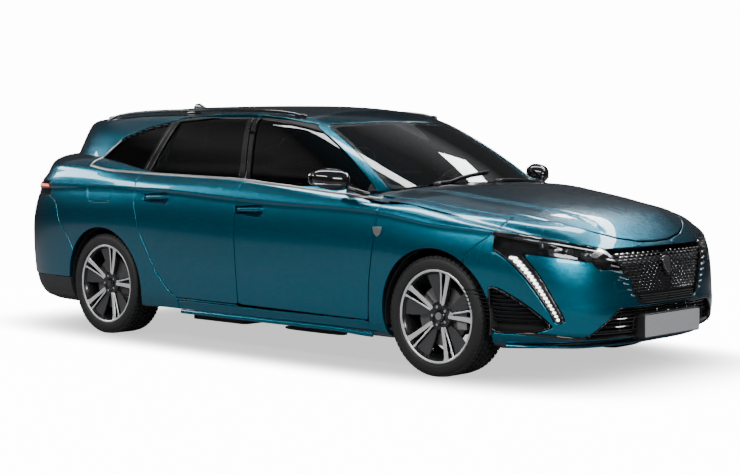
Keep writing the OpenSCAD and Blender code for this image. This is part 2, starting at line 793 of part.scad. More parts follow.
module tailgate_lamps() {
    color(lamp_red) mesh() intersection() {
        shell(1, 40);
        front_cut(lamp_band, -2600, -1500, -fit);
        gate_zone(-shut_gap / 2);
    }
}
module tail_lamps() {
    color(lamp_red) mesh() pair() difference() {
        intersection() {
            shell(1, 45);
            lamp_zone();
        }
        gate_zone(shut_gap / 2);
        side_cut(quarter, fit, 1300, 400);
    }
}

// ---- wheels: drawn about their own centre, the outer face towards -Y ----
disc_r = 160;
spindle_r = 20;
bearing_play = 0.05;
module turned() { rotate([90, 0, 0]) rotate_extrude($fn = 96) children(); }
module tyre() {
    w = tyre_w / 2;
    r = rim_d / 2 + fit;
    color(rubber) turned() polygon(concat(
        [[r, -w + 8], [r, w - 8]],
        [for (a = [0:15:90]) [r + 6 + (tyre_r - r - 24) * a / 90, w - 8 + 8 * sin(2 * a)]],
        [[tyre_r - 6, w - 16], [tyre_r, w - 34], [tyre_r, -w + 34], [tyre_r - 6, -w + 16]],
        [for (a = [90:-15:0]) [r + 6 + (tyre_r - r - 24) * a / 90, -w + 8 - 8 * sin(2 * a)]]));
}
spoke_count = 5;
hub_r = 74;
hub_face = 64;
spoke_face = 92;
module wheel() {
    w = tyre_w / 2;
    r = rim_d / 2;
    color(metal) {
        // rim barrel
        turned() polygon([[r, -w + 6], [r, w - 6], [r - 14, w - 6], [r - 16, w - 30],
            [r - 32, w - 60], [r - 32, -w + 16], [r - 18, -w + 6]]);
        // paired spokes and hub
        translate([0, -hub_face, 0]) rotate([90, 0, 0]) {
            difference() {
                cylinder(r = hub_r, h = 24, $fn = 60);
                translate([0, 0, -1]) cylinder(r = spindle_r + bearing_play, h = 20, $fn = 40);
            }
            for (i = [0:spoke_count - 1]) rotate([0, 0, i * 360 / spoke_count])
                linear_extrude(26) polygon([[-26, 50], [-46, r - 10], [-16, r - 8], [0, 120],
                    [16, r - 8], [44, r - 10], [26, 50]]);
        }
        // brake disc on the hub
        translate([0, -hub_face + 52, 0]) rotate([90, 0, 0]) difference() {
            union() {
                cylinder(r = 62, h = 52, $fn = 60);
                cylinder(r = disc_r, h = 24, $fn = 96);
            }
            translate([0, 0, -1]) cylinder(r = spindle_r + bearing_play, h = 60, $fn = 40);
        }
    }
}
module at_wheel(x, side) { translate([x, side * half_track, tyre_r]) children(); }
module on_side(side) { if (side > 0) mirror([0, 1, 0]) children(); else children(); }
module tyre_front_left() { at_wheel(front_axle_x, 1) tyre(); }
module tyre_front_right() { at_wheel(front_axle_x, -1) tyre(); }
module tyre_rear_left() { at_wheel(rear_axle_x, 1) tyre(); }
module tyre_rear_right() { at_wheel(rear_axle_x, -1) tyre(); }
module wheel_front_left() { at_wheel(front_axle_x, 1) on_side(1) wheel(); }
module wheel_front_right() { at_wheel(front_axle_x, -1) wheel(); }
module wheel_rear_left() { at_wheel(rear_axle_x, 1) on_side(1) wheel(); }
module wheel_rear_right() { at_wheel(rear_axle_x, -1) wheel(); }

// Hub carrier with its spindle and brake calliper, about the wheel's centre
disc_in = hub_face - 52;
kingpin_foot = 92;
module carrier() {
    gap = 6;
    // spindle in the hub's bore
    translate([0, -hub_face - 12, 0]) rotate([-90, 0, 0])
        cylinder(r = spindle_r, h = hub_face + 12 + 30, $fn = 40);
    translate([0, -disc_in + fit, 0]) rotate([-90, 0, 0])
        cylinder(r = 50, h = disc_in + 34, $fn = 48);
    // calliper over the disc's front edge
    difference() {
        translate([disc_r - 46, -disc_in - 24 - 22, -60]) cube([62, 90, 120]);
        translate([disc_r - 50, -disc_in - 24 - gap, -70]) cube([50 + gap, 24 + 2 * gap, 140]);
    }
    translate([40, -disc_in + gap, -25]) cube([disc_r - 86 + 42, 26, 50]);
}
module knuckle() {
    color(metal) union() {
        carrier();
        // kingpin boss and steering arm
        translate([0, 18, -kingpin_foot]) cylinder(r = 20, h = kingpin_foot, $fn = 40);
        translate([-120, 14, -20]) cube([124, 26, 36]);
    }
}
module knuckle_left() { at_wheel(front_axle_x, 1) on_side(1) knuckle(); }
module knuckle_right() { at_wheel(front_axle_x, -1) knuckle(); }

// ---- chassis ----
bulkhead_x = front_axle_x - arch_r - 86;
strut_r = 34;
strut_y = 580;
arm_z = tyre_r - kingpin_foot - fit;
module front_subframe() {
    color(dark) {
        translate([front_axle_x - 150, -470, arm_z - 40]) cube([300, 940, 60]);
        pair() {
            // lower arm under the kingpin
            translate([front_axle_x, -half_track + 22, arm_z - 22])
                cylinder(r = 18, h = 22, $fn = 40);
            translate([front_axle_x - 18, -half_track + 22, arm_z - 22])
                cube([36, half_track - 22 - 460, 22]);
            // spring strut up to its tower
            translate([front_axle_x, -strut_y, arm_z - 2])
                cylinder(r = strut_r, h = gz(800) - arm_z, $fn = 40);
            translate([front_axle_x - 60, -600, gz(780)]) cube([120, 130, 30]);
            // chassis leg from the bulkhead to the nose
            translate([bulkhead_x + 30 + fit, -480, 410])
                cube([nose_x - 190 - bulkhead_x - 30, 60, 90]);
            translate([front_axle_x - 60, -480, 410]) cube([60, 10, gz(780) - 400]);
            translate([front_axle_x - 140, -470, arm_z + 10]) cube([60, 60, 220]);
        }
        // bumper beam
        translate([nose_x - 215, -540, 400]) cube([40, 1080, 100]);
    }
}
module engine_block() {
    color(metal) translate([front_axle_x - 240, -330, arm_z + 20 + fit])
        cube([600, 660, gz(800) - arm_z - 20]);
}
rear_in = half_track - tyre_w / 2;
module rear_axle() {
    color(dark) {
        translate([rear_axle_x - 60, -rear_in + 40, tyre_r - 110]) cube([120, 2 * rear_in - 80, 70]);
        for (s = [-1, 1]) at_wheel(rear_axle_x, s) on_side(s) {
            carrier();
            translate([-40, 14, -100]) cube([80, 90, 120]);
            translate([-60, 90, -100]) cube([120, 60, 80]);
            // spring up to the body
            translate([0, 175, -60]) cylinder(r = 45, h = gz(470) - tyre_r + 60 - fit, $fn = 40);
        }
        // trailing arms forward to the floor
        pair() translate([rear_axle_x, -rear_in + 50, tyre_r - 100])
            cube([arch_r + 24 - fit, 60, 40]);
    }
}
floor_z = 180;
boot_z = gz(470);
module floor_pan() {
    color(dark) mesh() difference() {
        intersection() {
            floor_plates();
            body(150 + fit);
        }
        translate([rear_axle_x + arch_r + 23, -110, floor_z - 1])
            cube([wheelbase - 2 * arch_r - 60, 220, 21]);
    }
}
module floor_plates() {
    back = rear_axle_x + arch_r + 24;
    translate([back, -1000, floor_z]) cube([bulkhead_x + 30 - back, 2000, floor_t]);
    translate([bulkhead_x, -1000, floor_z]) cube([30, 2000, gz(840) - floor_z]);
    // step behind the rear seat, and the load floor
    translate([back, -1000, floor_z]) cube([30, 2000, boot_z + floor_t - floor_z]);
    translate([rear_axle_x - rear_overhang + 90, -gy(600), boot_z])
        cube([rear_overhang + arch_r - 40, 2 * gy(600), floor_t]);
}
module exhaust() {
    color(metal) {
        translate([rear_axle_x + arch_r + 24, 0, floor_z + 20 - fit - 30]) rotate([0, 90, 0])
            cylinder(r = 30, h = wheelbase - 2 * arch_r - 130, $fn = 40);
        translate([rear_axle_x - 560, -330, 210]) cube([300, 660, 150]);
        translate([rear_axle_x - 420, -20, 300]) cube([20, 40, boot_z - 300 - fit]);
    }
}
module wheel_liners() {
    color(rubber) for (x = [front_axle_x, rear_axle_x]) pair() difference() {
        translate([x, x > 0 ? -495 : -rear_in + 30, tyre_r]) rotate([90, 0, 0])
            cylinder(r = arch_r + liner_t,
                h = (x > 0 ? 870 - 495 : 870 - rear_in + 30) * body_w / 1852, $fn = 96);
        translate([x, 0, tyre_r]) rotate([90, 0, 0]) cylinder(r = arch_r, h = 2000, $fn = 96);
        translate([x - 600, -2000, -100]) cube([1200, 2000, 350]);
        translate([front_axle_x, -strut_y, 0]) cylinder(r = strut_r + fit, h = 900, $fn = 40);
    }
}

// ---- cabin ----
seat_x = 60;
module dashboard() {
    color(trim) translate([0, gy(640), 0]) rotate([90, 0, 0]) linear_extrude(2 * gy(640))
        polygon([[bulkhead_x - fit, gz(560)], [bulkhead_x - fit, gz(900)], [gx(880), gz(935)],
            [gx(640), gz(925)],
            [gx(560), gz(860)], [gx(600), gz(700)], [gx(760), gz(560)]]);
    color(trim) translate([gx(560) - 560, -110, floor_z + floor_t + fit]) cube([600, 220, 300]);
    // steering column
    color(trim) at_hand_wheel() translate([0, 0, -200]) cylinder(r = 38, h = 150 - fit, $fn = 40);
}
module front_seats() {
    color(cloth) for (s = [-1, 1]) translate([gx(seat_x), s * gy(370) + seat_w / 2, 0])
        rotate([90, 0, 0]) {
            linear_extrude(seat_w) {
                polygon([[-60, 330], [440, 330], [480, 400], [460, 480], [-40, 440], [-60, 460],
                    [-230, 1010], [-330, 1000], [-180, 400]]);
            }
            translate([0, 0, 60]) linear_extrude(seat_w - 120) polygon([[20, floor_z + floor_t + fit],
                [380, floor_z + floor_t + fit], [380, 330], [20, 330]]);
            translate([0, 0, seat_w / 2 - 130]) linear_extrude(260) polygon([[-240, 1005], [-235, 1180],
                [-320, 1190], [-345, 1000]]);
        }
}
module rear_seat() {
    color(cloth) translate([gx(-785), gy(620), 0]) rotate([90, 0, 0]) {
        linear_extrude(2 * gy(620)) polygon([[-20, floor_z + floor_t + fit + 60],
            [480, floor_z + floor_t + fit + 60], [520, 400],
            [490, 490], [20, 450], [-160, 980], [-260, 970], [-60, 540]]);
        translate([0, 0, gy(620) - 560]) linear_extrude(1120)
            polygon([[40, floor_z + floor_t + fit], [420, floor_z + floor_t + fit], [420, 340], [40, 340]]);
        for (y = [110, gy(620) - 110, 2 * gy(620) - 330]) translate([0, 0, y]) linear_extrude(220)
            polygon([[-165, 975], [-175, 1110], [-250, 1115], [-268, 965]]);
    }
}
column_lean = 25;
hand_wheel_x = 500;
hand_wheel_y = 370;
hand_wheel_z = 900;
module at_hand_wheel() {
    translate([gx(hand_wheel_x), gy(hand_wheel_y), gz(hand_wheel_z)])
        rotate([0, column_lean - 90, 0]) children();
}
module steering_wheel() {
    color(trim) at_hand_wheel() {
            rotate_extrude($fn = 72) translate([hand_wheel_d / 2 - 16, 0]) circle(r = 15, $fn = 24);
            translate([0, 0, -50]) cylinder(r = 45, h = 50, $fn = 40);
            for (a = [0, 90, 270]) rotate([0, 0, a]) translate([30, -16, -14])
                cube([hand_wheel_d / 2 - 48, 32, 14]);
        }
}

floor_pan();
body_sides();
roof();
roof_trim();
windscreen();
quarter_windows();
front_fenders();
cowl();
front_bumper();
grilles();
headlamps();
rear_bumper();
tail_lamps();
wheel_liners();
dashboard();
front_seats();
rear_seat();
engine_block();
rear_axle();
front_subframe();
exhaust();
front_door_left();
front_door_right();
rear_door_left();
rear_door_right();
front_glass_left();
front_glass_right();
rear_glass_left();
rear_glass_right();
mirror_left();
mirror_right();
tailgate();
tailgate_glass();
tailgate_lamps();
bonnet();
fuel_flap();
knuckle_left();
knuckle_right();
tyre_front_left();
tyre_front_right();
tyre_rear_left();
tyre_rear_right();
wheel_front_left();
wheel_front_right();
wheel_rear_left();
wheel_rear_right();
steering_wheel();
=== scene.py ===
"""Finished look of the station wagon: painted panels, glass, lamps, grilles, wheels, cabin and studio.

Design lines are in millimetres on the car's own grid (+X forward, +Y left, +Z up, floor at 0); meshes are in metres.
A half surface is worked out for y >= 0 and then placed on either side. Panels are cut out of a few smooth surfaces by
signed distances, their edges are rolled over, and their normals come from the surface's own gradient.
"""

import json
import math
import bpy
import numpy as np
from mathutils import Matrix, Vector

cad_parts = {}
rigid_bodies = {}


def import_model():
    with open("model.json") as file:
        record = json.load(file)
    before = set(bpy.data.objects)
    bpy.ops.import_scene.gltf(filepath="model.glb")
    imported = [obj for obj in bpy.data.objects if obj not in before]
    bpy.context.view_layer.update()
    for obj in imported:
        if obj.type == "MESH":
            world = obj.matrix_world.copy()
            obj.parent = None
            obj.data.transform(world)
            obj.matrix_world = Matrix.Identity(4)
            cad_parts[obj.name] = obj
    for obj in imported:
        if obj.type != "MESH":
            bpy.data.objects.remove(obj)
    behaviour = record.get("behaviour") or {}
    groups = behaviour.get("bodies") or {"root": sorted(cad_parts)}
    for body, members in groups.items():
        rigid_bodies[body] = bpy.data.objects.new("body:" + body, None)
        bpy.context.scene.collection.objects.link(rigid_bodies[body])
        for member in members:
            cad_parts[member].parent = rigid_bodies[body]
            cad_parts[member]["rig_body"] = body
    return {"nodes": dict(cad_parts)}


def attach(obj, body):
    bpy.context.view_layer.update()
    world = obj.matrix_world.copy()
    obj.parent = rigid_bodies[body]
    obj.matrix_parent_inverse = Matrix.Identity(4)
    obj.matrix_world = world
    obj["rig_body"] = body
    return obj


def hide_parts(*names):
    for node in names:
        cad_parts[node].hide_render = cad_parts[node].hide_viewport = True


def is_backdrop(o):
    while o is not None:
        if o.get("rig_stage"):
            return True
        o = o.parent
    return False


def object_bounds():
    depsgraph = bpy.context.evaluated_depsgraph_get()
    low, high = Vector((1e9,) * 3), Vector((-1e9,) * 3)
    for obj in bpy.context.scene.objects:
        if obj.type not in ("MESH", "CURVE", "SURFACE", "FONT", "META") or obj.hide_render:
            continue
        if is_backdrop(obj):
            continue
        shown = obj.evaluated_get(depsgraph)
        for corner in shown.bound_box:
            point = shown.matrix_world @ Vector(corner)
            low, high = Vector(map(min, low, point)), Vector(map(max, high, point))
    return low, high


bl_info = {
    "name": "Station wagon finish",
    "version": (1, 0, 0),
    "blender": (4, 5, 0),
    "location": "3D View > Sidebar > Wagon",
    "description": "Builds the finished pieces of a station wagon on its packed frame",
    "category": "Object",
}

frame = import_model()
NODES = frame["nodes"]

# ---- design lines, in millimetres ----
CREASE = [[-2318, 905], [-2100, 918], [-1600, 933], [-994, 936], [-645, 928], [-64, 896], [250, 883],
          [1044, 857], [1420, 808], [1850, 770], [2050, 722], [2318, 640]]
BELT = [[-2318, 1085], [-1460, 1071], [-944, 1024], [-89, 1001], [467, 960], [1014, 915], [1352, 872],
        [1790, 800], [2050, 742], [2318, 655]]
FLANK = [[0, 800], [.035, 856], [.09, 876], [.18, 889], [.31, 897], [.45, 903], [.59, 907], [.72, 909],
         [.84, 906], [.93, 899], [1, 891]]
SHOULDER = [902, 886, 850, 782, 690]
LOW, LIP = 170, 20
NOSE = [[170, 2060], [190, 2150], [226, 2280], [300, 2316], [350, 2318], [397, 2312], [500, 2302],
        [600, 2286], [670, 2268], [725, 2262], [1160, 2200]]
TAIL = [[170, -2190], [250, -2275], [320, -2304], [450, -2318], [580, -2318], [680, -2310], [750, -2292],
        [810, -2272], [870, -2247], [944, -2215], [1000, -2150], [1160, -2090]]
NOSE_POW, TAIL_POW, TURN_F, TURN_R = 3, 4.6, 1350, -1280
DECK = [[-2400, 1140], [700, 1120], [860, 1030], [1000, 997], [1135, 989], [1331, 981], [1500, 956],
        [1818, 903], [1974, 868], [2060, 836], [2130, 790], [2200, 725], [2260, 655], [2400, 540]]
RIDGE = [[900, 610], [1400, 560], [1800, 470], [2150, 330], [2300, 280]]
CABIN = [[850, 866], [1000, 850], [1100, 806], [1200, 758], [1300, 702], [1360, 655], [1400, 612],
         [1480, 530]]
SCREEN = [[850, 1290], [970, 1100], [1100, 890], [1200, 712], [1312, 490], [1360, 385], [1400, 270],
          [1480, 60]]
GATE = [[850, -2180], [1000, -2130], [1100, -2085], [1200, -2050], [1300, -2018], [1360, -2000],
        [1480, -1965]]
SCREEN_POW, GATE_POW = 8, 3.6
ROOF = [[-2318, 1290], [-2050, 1360], [-1900, 1382], [-1600, 1413], [-1277, 1435], [-787, 1442],
        [-368, 1440], [0, 1431], [200, 1414], [400, 1385], [600, 1345], [900, 1270]]
AXLE_F, AXLE_R, TRACK, TYRE_R, ARCH_R = 1452, -1280, 778, 318.5, 356.5
GAP, ROLL = 3.0, 3.0
# doors: full thickness, thickness round the window, at the edge; glass; strip of pillar beside the screen
DOOR_T, FRAME_T, EDGE_T, GLASS_SET, GLASS_BACK, PILLAR = 94, 38, 18, 9, 13.5, 60
RAIL_Y, SPOKE_PAIRS, TREAD_BLOCKS, GRILLE_ROWS = 585, 5, 64, 14

# ---- outlines of panels and openings: seen from the side (x, z), from above (x, y) or from the front (y, z) ----
SPLIT = [[-153, 1379], [-14, 1004], [-47, 934], [-55, 721], [-47, 455], [-43, 274]]
FRONT_DOOR = [[986, 262], [1003, 455], [1036, 642], [1061, 851], [1086, 918], [1070, 958], [925, 1066],
              [800, 1134], [645, 1211], [456, 1287], [310, 1323], [105, 1356], [-93, 1374]] + SPLIT
REAR_EDGE = [[-590, 276], [-663, 321], [-769, 426], [-897, 659], [-950, 827], [-959, 954], [-944, 1024]]
REAR_DOOR = SPLIT + REAR_EDGE + [[-832, 1352], [-795, 1360], [-496, 1381]]
BAND = [[1014, 922], [467, 966], [265, 982], [-89, 1007], [-462, 1017], [-944, 1030], [-1271, 1046],
        [-1450, 1070], [-1452, 1086], [-1436, 1112], [-1275, 1228], [-1046, 1294], [-795, 1336], [-496, 1359],
        [-93, 1353], [101, 1335], [300, 1300], [440, 1265], [627, 1188], [782, 1111], [912, 1040],
        [1010, 957]]
B_POST = [[60, 900], [-132, 1450], [-224, 1450], [-32, 900]]
C_POST = [[-936, 900], [-755, 1450], [-831, 1450], [-1012, 900]]
SAIL = [[1120, 880], [1120, 1100], [790, 1140], [848, 1065], [862, 880]]
BONNET = [[1132, 0], [1125, 300], [1090, 520], [1030, 680], [962, 752], [975, 768], [1200, 772],
          [1450, 762], [1650, 738], [1800, 700], [1930, 630], [2040, 530], [2120, 430], [2180, 300],
          [2212, 150], [2220, 0]]
SCREEN_EDGE = [[1108, 0], [1085, 300], [1030, 520], [975, 650], [940, 672], [760, 638], [560, 598],
               [366, 560], [420, 300], [440, 0]]
COWL = [[1128, 0], [1121, 300], [1086, 520], [1026, 678], [958, 745], [930, 745], [940, 672], [975, 650],
        [1030, 520], [1085, 300], [1108, 0]]
FENDER = [[992, 150], [986, 262], [1003, 455], [1036, 642], [1061, 851], [1086, 918], [1070, 958],
          [1000, 1000], [930, 1060], [900, 1000], [900, 985], [1800, 985], [1824, 774], [1672, 659],
          [1640, 560], [1500, 150]]
SILL = [[992, 100], [992, 262], [-585, 262], [-570, 100]]
BUMPER_F = [[1640, 560], [1672, 659], [1824, 774], [1840, 1000], [2400, 1000], [2400, 100], [1500, 100]]
BUMPER_R = [[-2400, 100], [-2400, 868], [-1850, 868], [-1758, 823], [-1714, 697], [-1640, 628],
            [-1500, 400], [-1560, 100]]
QUARTER = REAR_EDGE[::-1] + [[-43, 274], [-43, 100], [-600, 100], [-2400, 100], [-2400, 1200], [-900, 1200]]
FLAP = [[-1430, 940], [-1404, 850], [-1385, 838], [-1215, 838], [-1190, 856], [-1168, 940]]
LAMP_R = [[-1850, 868], [-1850, 957], [-2400, 957], [-2400, 868]]
GATE_SIDE = [[590, 640], [610, 840], [690, 868], [700, 960], [618, 1002], [618, 1110], [568, 1360],
             [560, 1500]]
GRILLE = [[437, 680], [277, 412], [240, 398]]
LAMP_TOP = [[437, 680], [620, 722], [800, 768], [950, 790]]
LAMP = LAMP_TOP + [[950, 700], [866, 676], [724, 322], [700, 318], [690, 332], [815, 668], [700, 648],
                   [560, 622], [520, 584], [368, 572]]
NOSE_ZONE = LAMP_TOP + [[950, 1000], [-950, 1000]] + [[-p[0], p[1]] for p in LAMP_TOP[::-1]]
INTAKE = [[418, 386], [612, 228]]
SIDE_INTAKE = [[728, 300], [790, 258], [850, 262], [905, 340], [915, 470], [872, 500]]


def curve(points, x):
    """Smooth line through points (x, value): cubic Hermite spans whose slopes are the means of the secants, flat beyond
    the ends."""
    p = np.asarray(points, float)
    px, pv = p[:, 0], p[:, 1]
    secant = np.diff(pv) / np.diff(px)
    slope = np.concatenate([secant[:1], (secant[1:] + secant[:-1]) / 2, secant[-1:]])
    x = np.clip(x, px[0], px[-1])
    i = np.clip(np.searchsorted(px, x, side="right") - 1, 0, len(px) - 2)
    h = px[i + 1] - px[i]
    t = (x - px[i]) / h
    return (pv[i] * (1 + 2 * t) * (1 - t) ** 2 + slope[i] * h * t * (1 - t) ** 2
            + pv[i + 1] * t * t * (3 - 2 * t) + slope[i + 1] * h * t * t * (t - 1))


def hermite(zk, yk, z):
    """The same curve where each sample has its own knots: zk and yk are (knots, samples)."""
    secant = np.diff(yk, axis=0) / np.diff(zk, axis=0)
    slope = np.concatenate([secant[:1], (secant[1:] + secant[:-1]) / 2, secant[-1:]])
    z = np.clip(z, zk[0], zk[-1])
    i = (z[None] >= zk[1:-1]).sum(0)[None]
    pick = lambda a, j: np.take_along_axis(a, j, 0)[0]
    z0, z1, y0, y1 = pick(zk, i), pick(zk, i + 1), pick(yk, i), pick(yk, i + 1)
    s0, s1, h = pick(slope, i), pick(slope, i + 1), z1 - z0
    t = (z - z0) / h
    return (y0 * (1 + 2 * t) * (1 - t) ** 2 + s0 * h * t * (1 - t) ** 2
            + y1 * t * t * (3 - 2 * t) + s1 * h * t * t * (t - 1))


def bump(x, centre, width):
    """A bell: exp of minus the squared distance from centre over width."""
    return np.exp(-((x - centre) / width) ** 2)


def step(t):
    """Smooth step from 0 to 1 over t in 0..1."""
    t = np.clip(t, 0, 1)
    return t * t * (3 - 2 * t)


def marks(x):
    """Heights of the lower body's feature lines at x: sill, under-crease, crease, mid shoulder, belt, ledge, top."""
    c, b = curve(CREASE, x), curve(BELT, x)
    return np.stack([np.full_like(c, LOW), c - LIP, c, (c + b) / 2, b, b + 38, b + 58, np.full_like(c, 1156.0)])


def level_of(x, z):
    """Which feature line a height lies on, as a number that grows by one from line to line."""
    m = marks(x)
    return np.clip((z - m[:-1]) / np.diff(m, axis=0), 0, 1).sum(0)


def level_z(level, x):
    """Height of a feature line level at x."""
    m = marks(x)
    k = np.arange(len(m) - 1)[:, None]
    return m[0] + (np.clip(level - k, 0, 1) * np.diff(m, axis=0)).sum(0)


def width_at(x, z):
    """Half width of the body at a station: the flank's curve with the arch flares, a lip, then the shoulder."""
    m = marks(x)
    t = np.array([p[0] for p in FLANK])[:, None]
    flare = 15 * bump(x, AXLE_F, 420) * bump(t, .72, .35) + 18 * bump(x, AXLE_R, 520) * bump(t, .78, .35)
    low = hermite(LOW + (m[1] - LOW) * t, np.array([p[1] for p in FLANK])[:, None] + flare, z)
    high = hermite(m[2:7], np.array(SHOULDER, float)[:, None] + 0 * m[2:7], z)
    s = step((z - m[1]) / LIP)
    return np.where(z < m[1], low, np.where(z > m[2], high, low + (SHOULDER[0] - low) * s))


def end_table(line, start):
    """Where each level meets the nose or tail line: the fixed point of x = line(height of the level at x)."""
    levels = np.linspace(0, 7, 281)
    x = np.full_like(levels, float(start))
    for _ in range(9):
        x = curve(line, level_z(levels, x))
    return levels, x


NOSE_END, TAIL_END = end_table(NOSE, 2250), end_table(TAIL, -2250)


def flank(x, y, z):
    """Distance outside the lower body's plan: the half width, closed by superellipses at nose and tail."""
    level, w = level_of(x, z), width_at(x, z)
    front = x > 0
    n = np.where(front, NOSE_POW, TAIL_POW)
    end = np.where(front, np.interp(level, *NOSE_END), np.interp(level, *TAIL_END))
    turn = np.where(front, TURN_F, TURN_R)
    u = np.maximum((x - turn) / (end - turn), 0)
    return ((u ** n + (np.abs(y) / w) ** n) ** (1 / n) - 1) * w


def deck(x, y):
    """Height of the bonnet: its middle line, falling to the sides, lower outside two ridges."""
    s = np.abs(y) / 780
    ridge = curve(RIDGE, x)
    sink = 7 * step((np.abs(y) - ridge + 16) / 48) * step((x - 960) / 200) * step((2210 - x) / 200)
    return curve(DECK, x + 90 * s ** 2) - 60 * s ** 3.5 - sink


def narrow(x):
    """How much of its full width the cabin keeps at x: it narrows towards tail and screen."""
    return 1 - .13 * (np.maximum(0, -600 - x) / 1400) ** 2 - .09 * (np.maximum(0, x - 100) / 700) ** 2


def cabin(x, y, z):
    """Distance outside the cabin's plan: half widths by height, closed by superellipses at screen and tailgate."""
    xf, xr, w = curve(SCREEN, z), curve(GATE, z), curve(CABIN, z)
    w = w * narrow(x)
    c = np.abs(y) / w
    front = x > -300
    reach = np.where(front, 700 - 150 * np.minimum(c, 1.2) ** 2, xr - TURN_R)
    start = np.where(front, xf - 700, TURN_R)
    n = np.where(front, SCREEN_POW, GATE_POW)
    u = np.maximum((x - start) / reach, 0)
    return ((u ** n + c ** n) ** (1 / n) - 1) * w


def roof(x, y):
    """Height of the roof: its middle line, falling to the sides."""
    return curve(ROOF, x) - 50 * (np.abs(y) / 555) ** 2.2


def round_max(a, b, r):
    """The larger of two distances, with a rounded edge of radius r where they meet."""
    u, v = np.maximum(a + r, 0), np.maximum(b + r, 0)
    return np.where((u > 0) & (v > 0), np.hypot(u, v) - r, np.maximum(a, b))


def lower_body(p):
    x, y, z = p.T
    return round_max(flank(x, y, z), z - deck(x, y), 24)


def upper_body(p):
    x, y, z = p.T
    return round_max(cabin(x, y, z), z - roof(x, y), 30)


def gradient(field, p, h=1.5):
    """Central differences of a field at points."""
    g = np.empty_like(p)
    for k in range(3):
        d = np.zeros(3)
        d[k] = h
        g[:, k] = (field(p + d) - field(p - d)) / (2 * h)
    return g


def unit(v):
    return v / np.maximum(np.linalg.norm(v, axis=-1, keepdims=True), 1e-9)


def settle(field, p, rounds=2):
    """Moves points onto the field's zero surface by Newton steps along the gradient."""
    for _ in range(rounds):
        g = gradient(field, p)
        move = (field(p) / np.maximum((g * g).sum(1), 1e-6))[:, None] * g
        length = np.linalg.norm(move, axis=1, keepdims=True)
        p = p - move * np.minimum(1, 15 / np.maximum(length, 1e-9))
    return p


# ---- cutting ----
def inside(points, a, b):
    """Signed distance to a closed outline in two coordinates, negative inside."""
    p = np.asarray(points, float)
    q = np.roll(p, -1, axis=0)
    best, cross = np.full(len(a), 1e18), np.zeros(len(a), bool)
    for (x0, y0), (x1, y1) in zip(p, q):
        ex, ey = x1 - x0, y1 - y0
        t = np.clip(((a - x0) * ex + (b - y0) * ey) / max(ex * ex + ey * ey, 1e-9), 0, 1)
        best = np.minimum(best, (a - x0 - t * ex) ** 2 + (b - y0 - t * ey) ** 2)
        if y0 != y1:
            cross ^= ((y0 > b) != (y1 > b)) & (a < x0 + ex * (b - y0) / ey)
    return np.where(cross, -1, 1) * np.sqrt(best)


def softened(points, r=14, steps=4):
    """An outline with its corners rounded: each corner becomes a short quadratic curve between its neighbours."""
    p, out = np.asarray(points, float), []
    for i in range(len(p)):
        a, b, c = p[i - 1], p[i], p[(i + 1) % len(p)]
        ra = min(r, np.linalg.norm(a - b) * .45)
        rc = min(r, np.linalg.norm(c - b) * .45)
        s, e = b + unit(a - b) * ra, b + unit(c - b) * rc
        for t in np.linspace(0, 1, steps + 1):
            out.append((1 - t) ** 2 * s + 2 * t * (1 - t) * b + t * t * e)
    return np.array(out)


def side(points, r=14):
    o = softened(points, r)
    return lambda p: inside(o, p[:, 0], p[:, 2])


def plan(points, r=14):
    """From above; the half outline is mirrored across the middle."""
    o = softened(points + [[x, -y] for x, y in points[::-1] if y > 0], r)
    return lambda p: inside(o, p[:, 0], p[:, 1])


def front(points, r=10, ahead=None):
    """From the front, or from behind with ahead < 0; ahead limits it to one end of the car."""
    o = softened(points, r)

    def s(p):
        d = inside(o, p[:, 1], p[:, 2])
        if ahead is not None:
            d = np.maximum(d, (ahead - p[:, 0]) if ahead > 0 else (p[:, 0] - ahead))
        return d
    return s


def both(points):
    """A front outline with its mirror image across the middle."""
    return points + [[-y, z] for y, z in points[::-1] if y != 0]


def out(s):
    return lambda p: -s(p)


def either(*ss):
    return lambda p: np.minimum.reduce([s(p) for s in ss])


def arch(x):
    return lambda p: np.hypot(p[:, 0] - x, p[:, 2] - TYRE_R) - ARCH_R


def along(axis, value, sign=1):
    """Negative where sign * coordinate < sign * value."""
    return lambda p: sign * (p[:, axis] - value)


def slice_at(v, t, s):
    """Adds the line s = 0 to a triangle mesh: edges that cross it get a vertex, triangles are split."""
    s = np.where(np.abs(s) < 1e-4, 0.0, s)
    e = np.concatenate([t[:, [0, 1]], t[:, [1, 2]], t[:, [2, 0]]])
    hit = s[e[:, 0]] * s[e[:, 1]] < 0
    if not hit.any():
        return v, t, s
    key = np.sort(e[hit], axis=1)
    uniq, inverse = np.unique(key, axis=0, return_inverse=True)
    inverse = inverse.reshape(-1)
    a, b = uniq.T
    w = (s[a] / (s[a] - s[b]))[:, None]
    fresh = v[a] + (v[b] - v[a]) * w
    mid = np.full(len(e), -1)
    mid[hit] = len(v) + inverse
    mid = mid.reshape(3, -1).T
    n = (mid >= 0).sum(1)
    new = [t[n == 0]]
    for k in range(3):
        one = (n == 1) & (mid[:, k] >= 0)
        a, b, c, m = t[one, k], t[one, (k + 1) % 3], t[one, (k + 2) % 3], mid[one, k]
        new += [np.stack([a, m, c], 1), np.stack([m, b, c], 1)]
        two = (n == 2) & (mid[:, k] < 0)
        a, b, c = t[two, k], t[two, (k + 1) % 3], t[two, (k + 2) % 3]
        m1, m2 = mid[two, (k + 1) % 3], mid[two, (k + 2) % 3]
        new += [np.stack([c, m2, m1], 1), np.stack([a, b, m1], 1), np.stack([a, m1, m2], 1)]
    return np.concatenate([v, fresh]), np.concatenate(new), np.concatenate([s, np.zeros(len(fresh))])


def tidy(v, t):
    """Drops unused vertices."""
    used, inverse = np.unique(t, return_inverse=True)
    return v[used], inverse.reshape(t.shape)


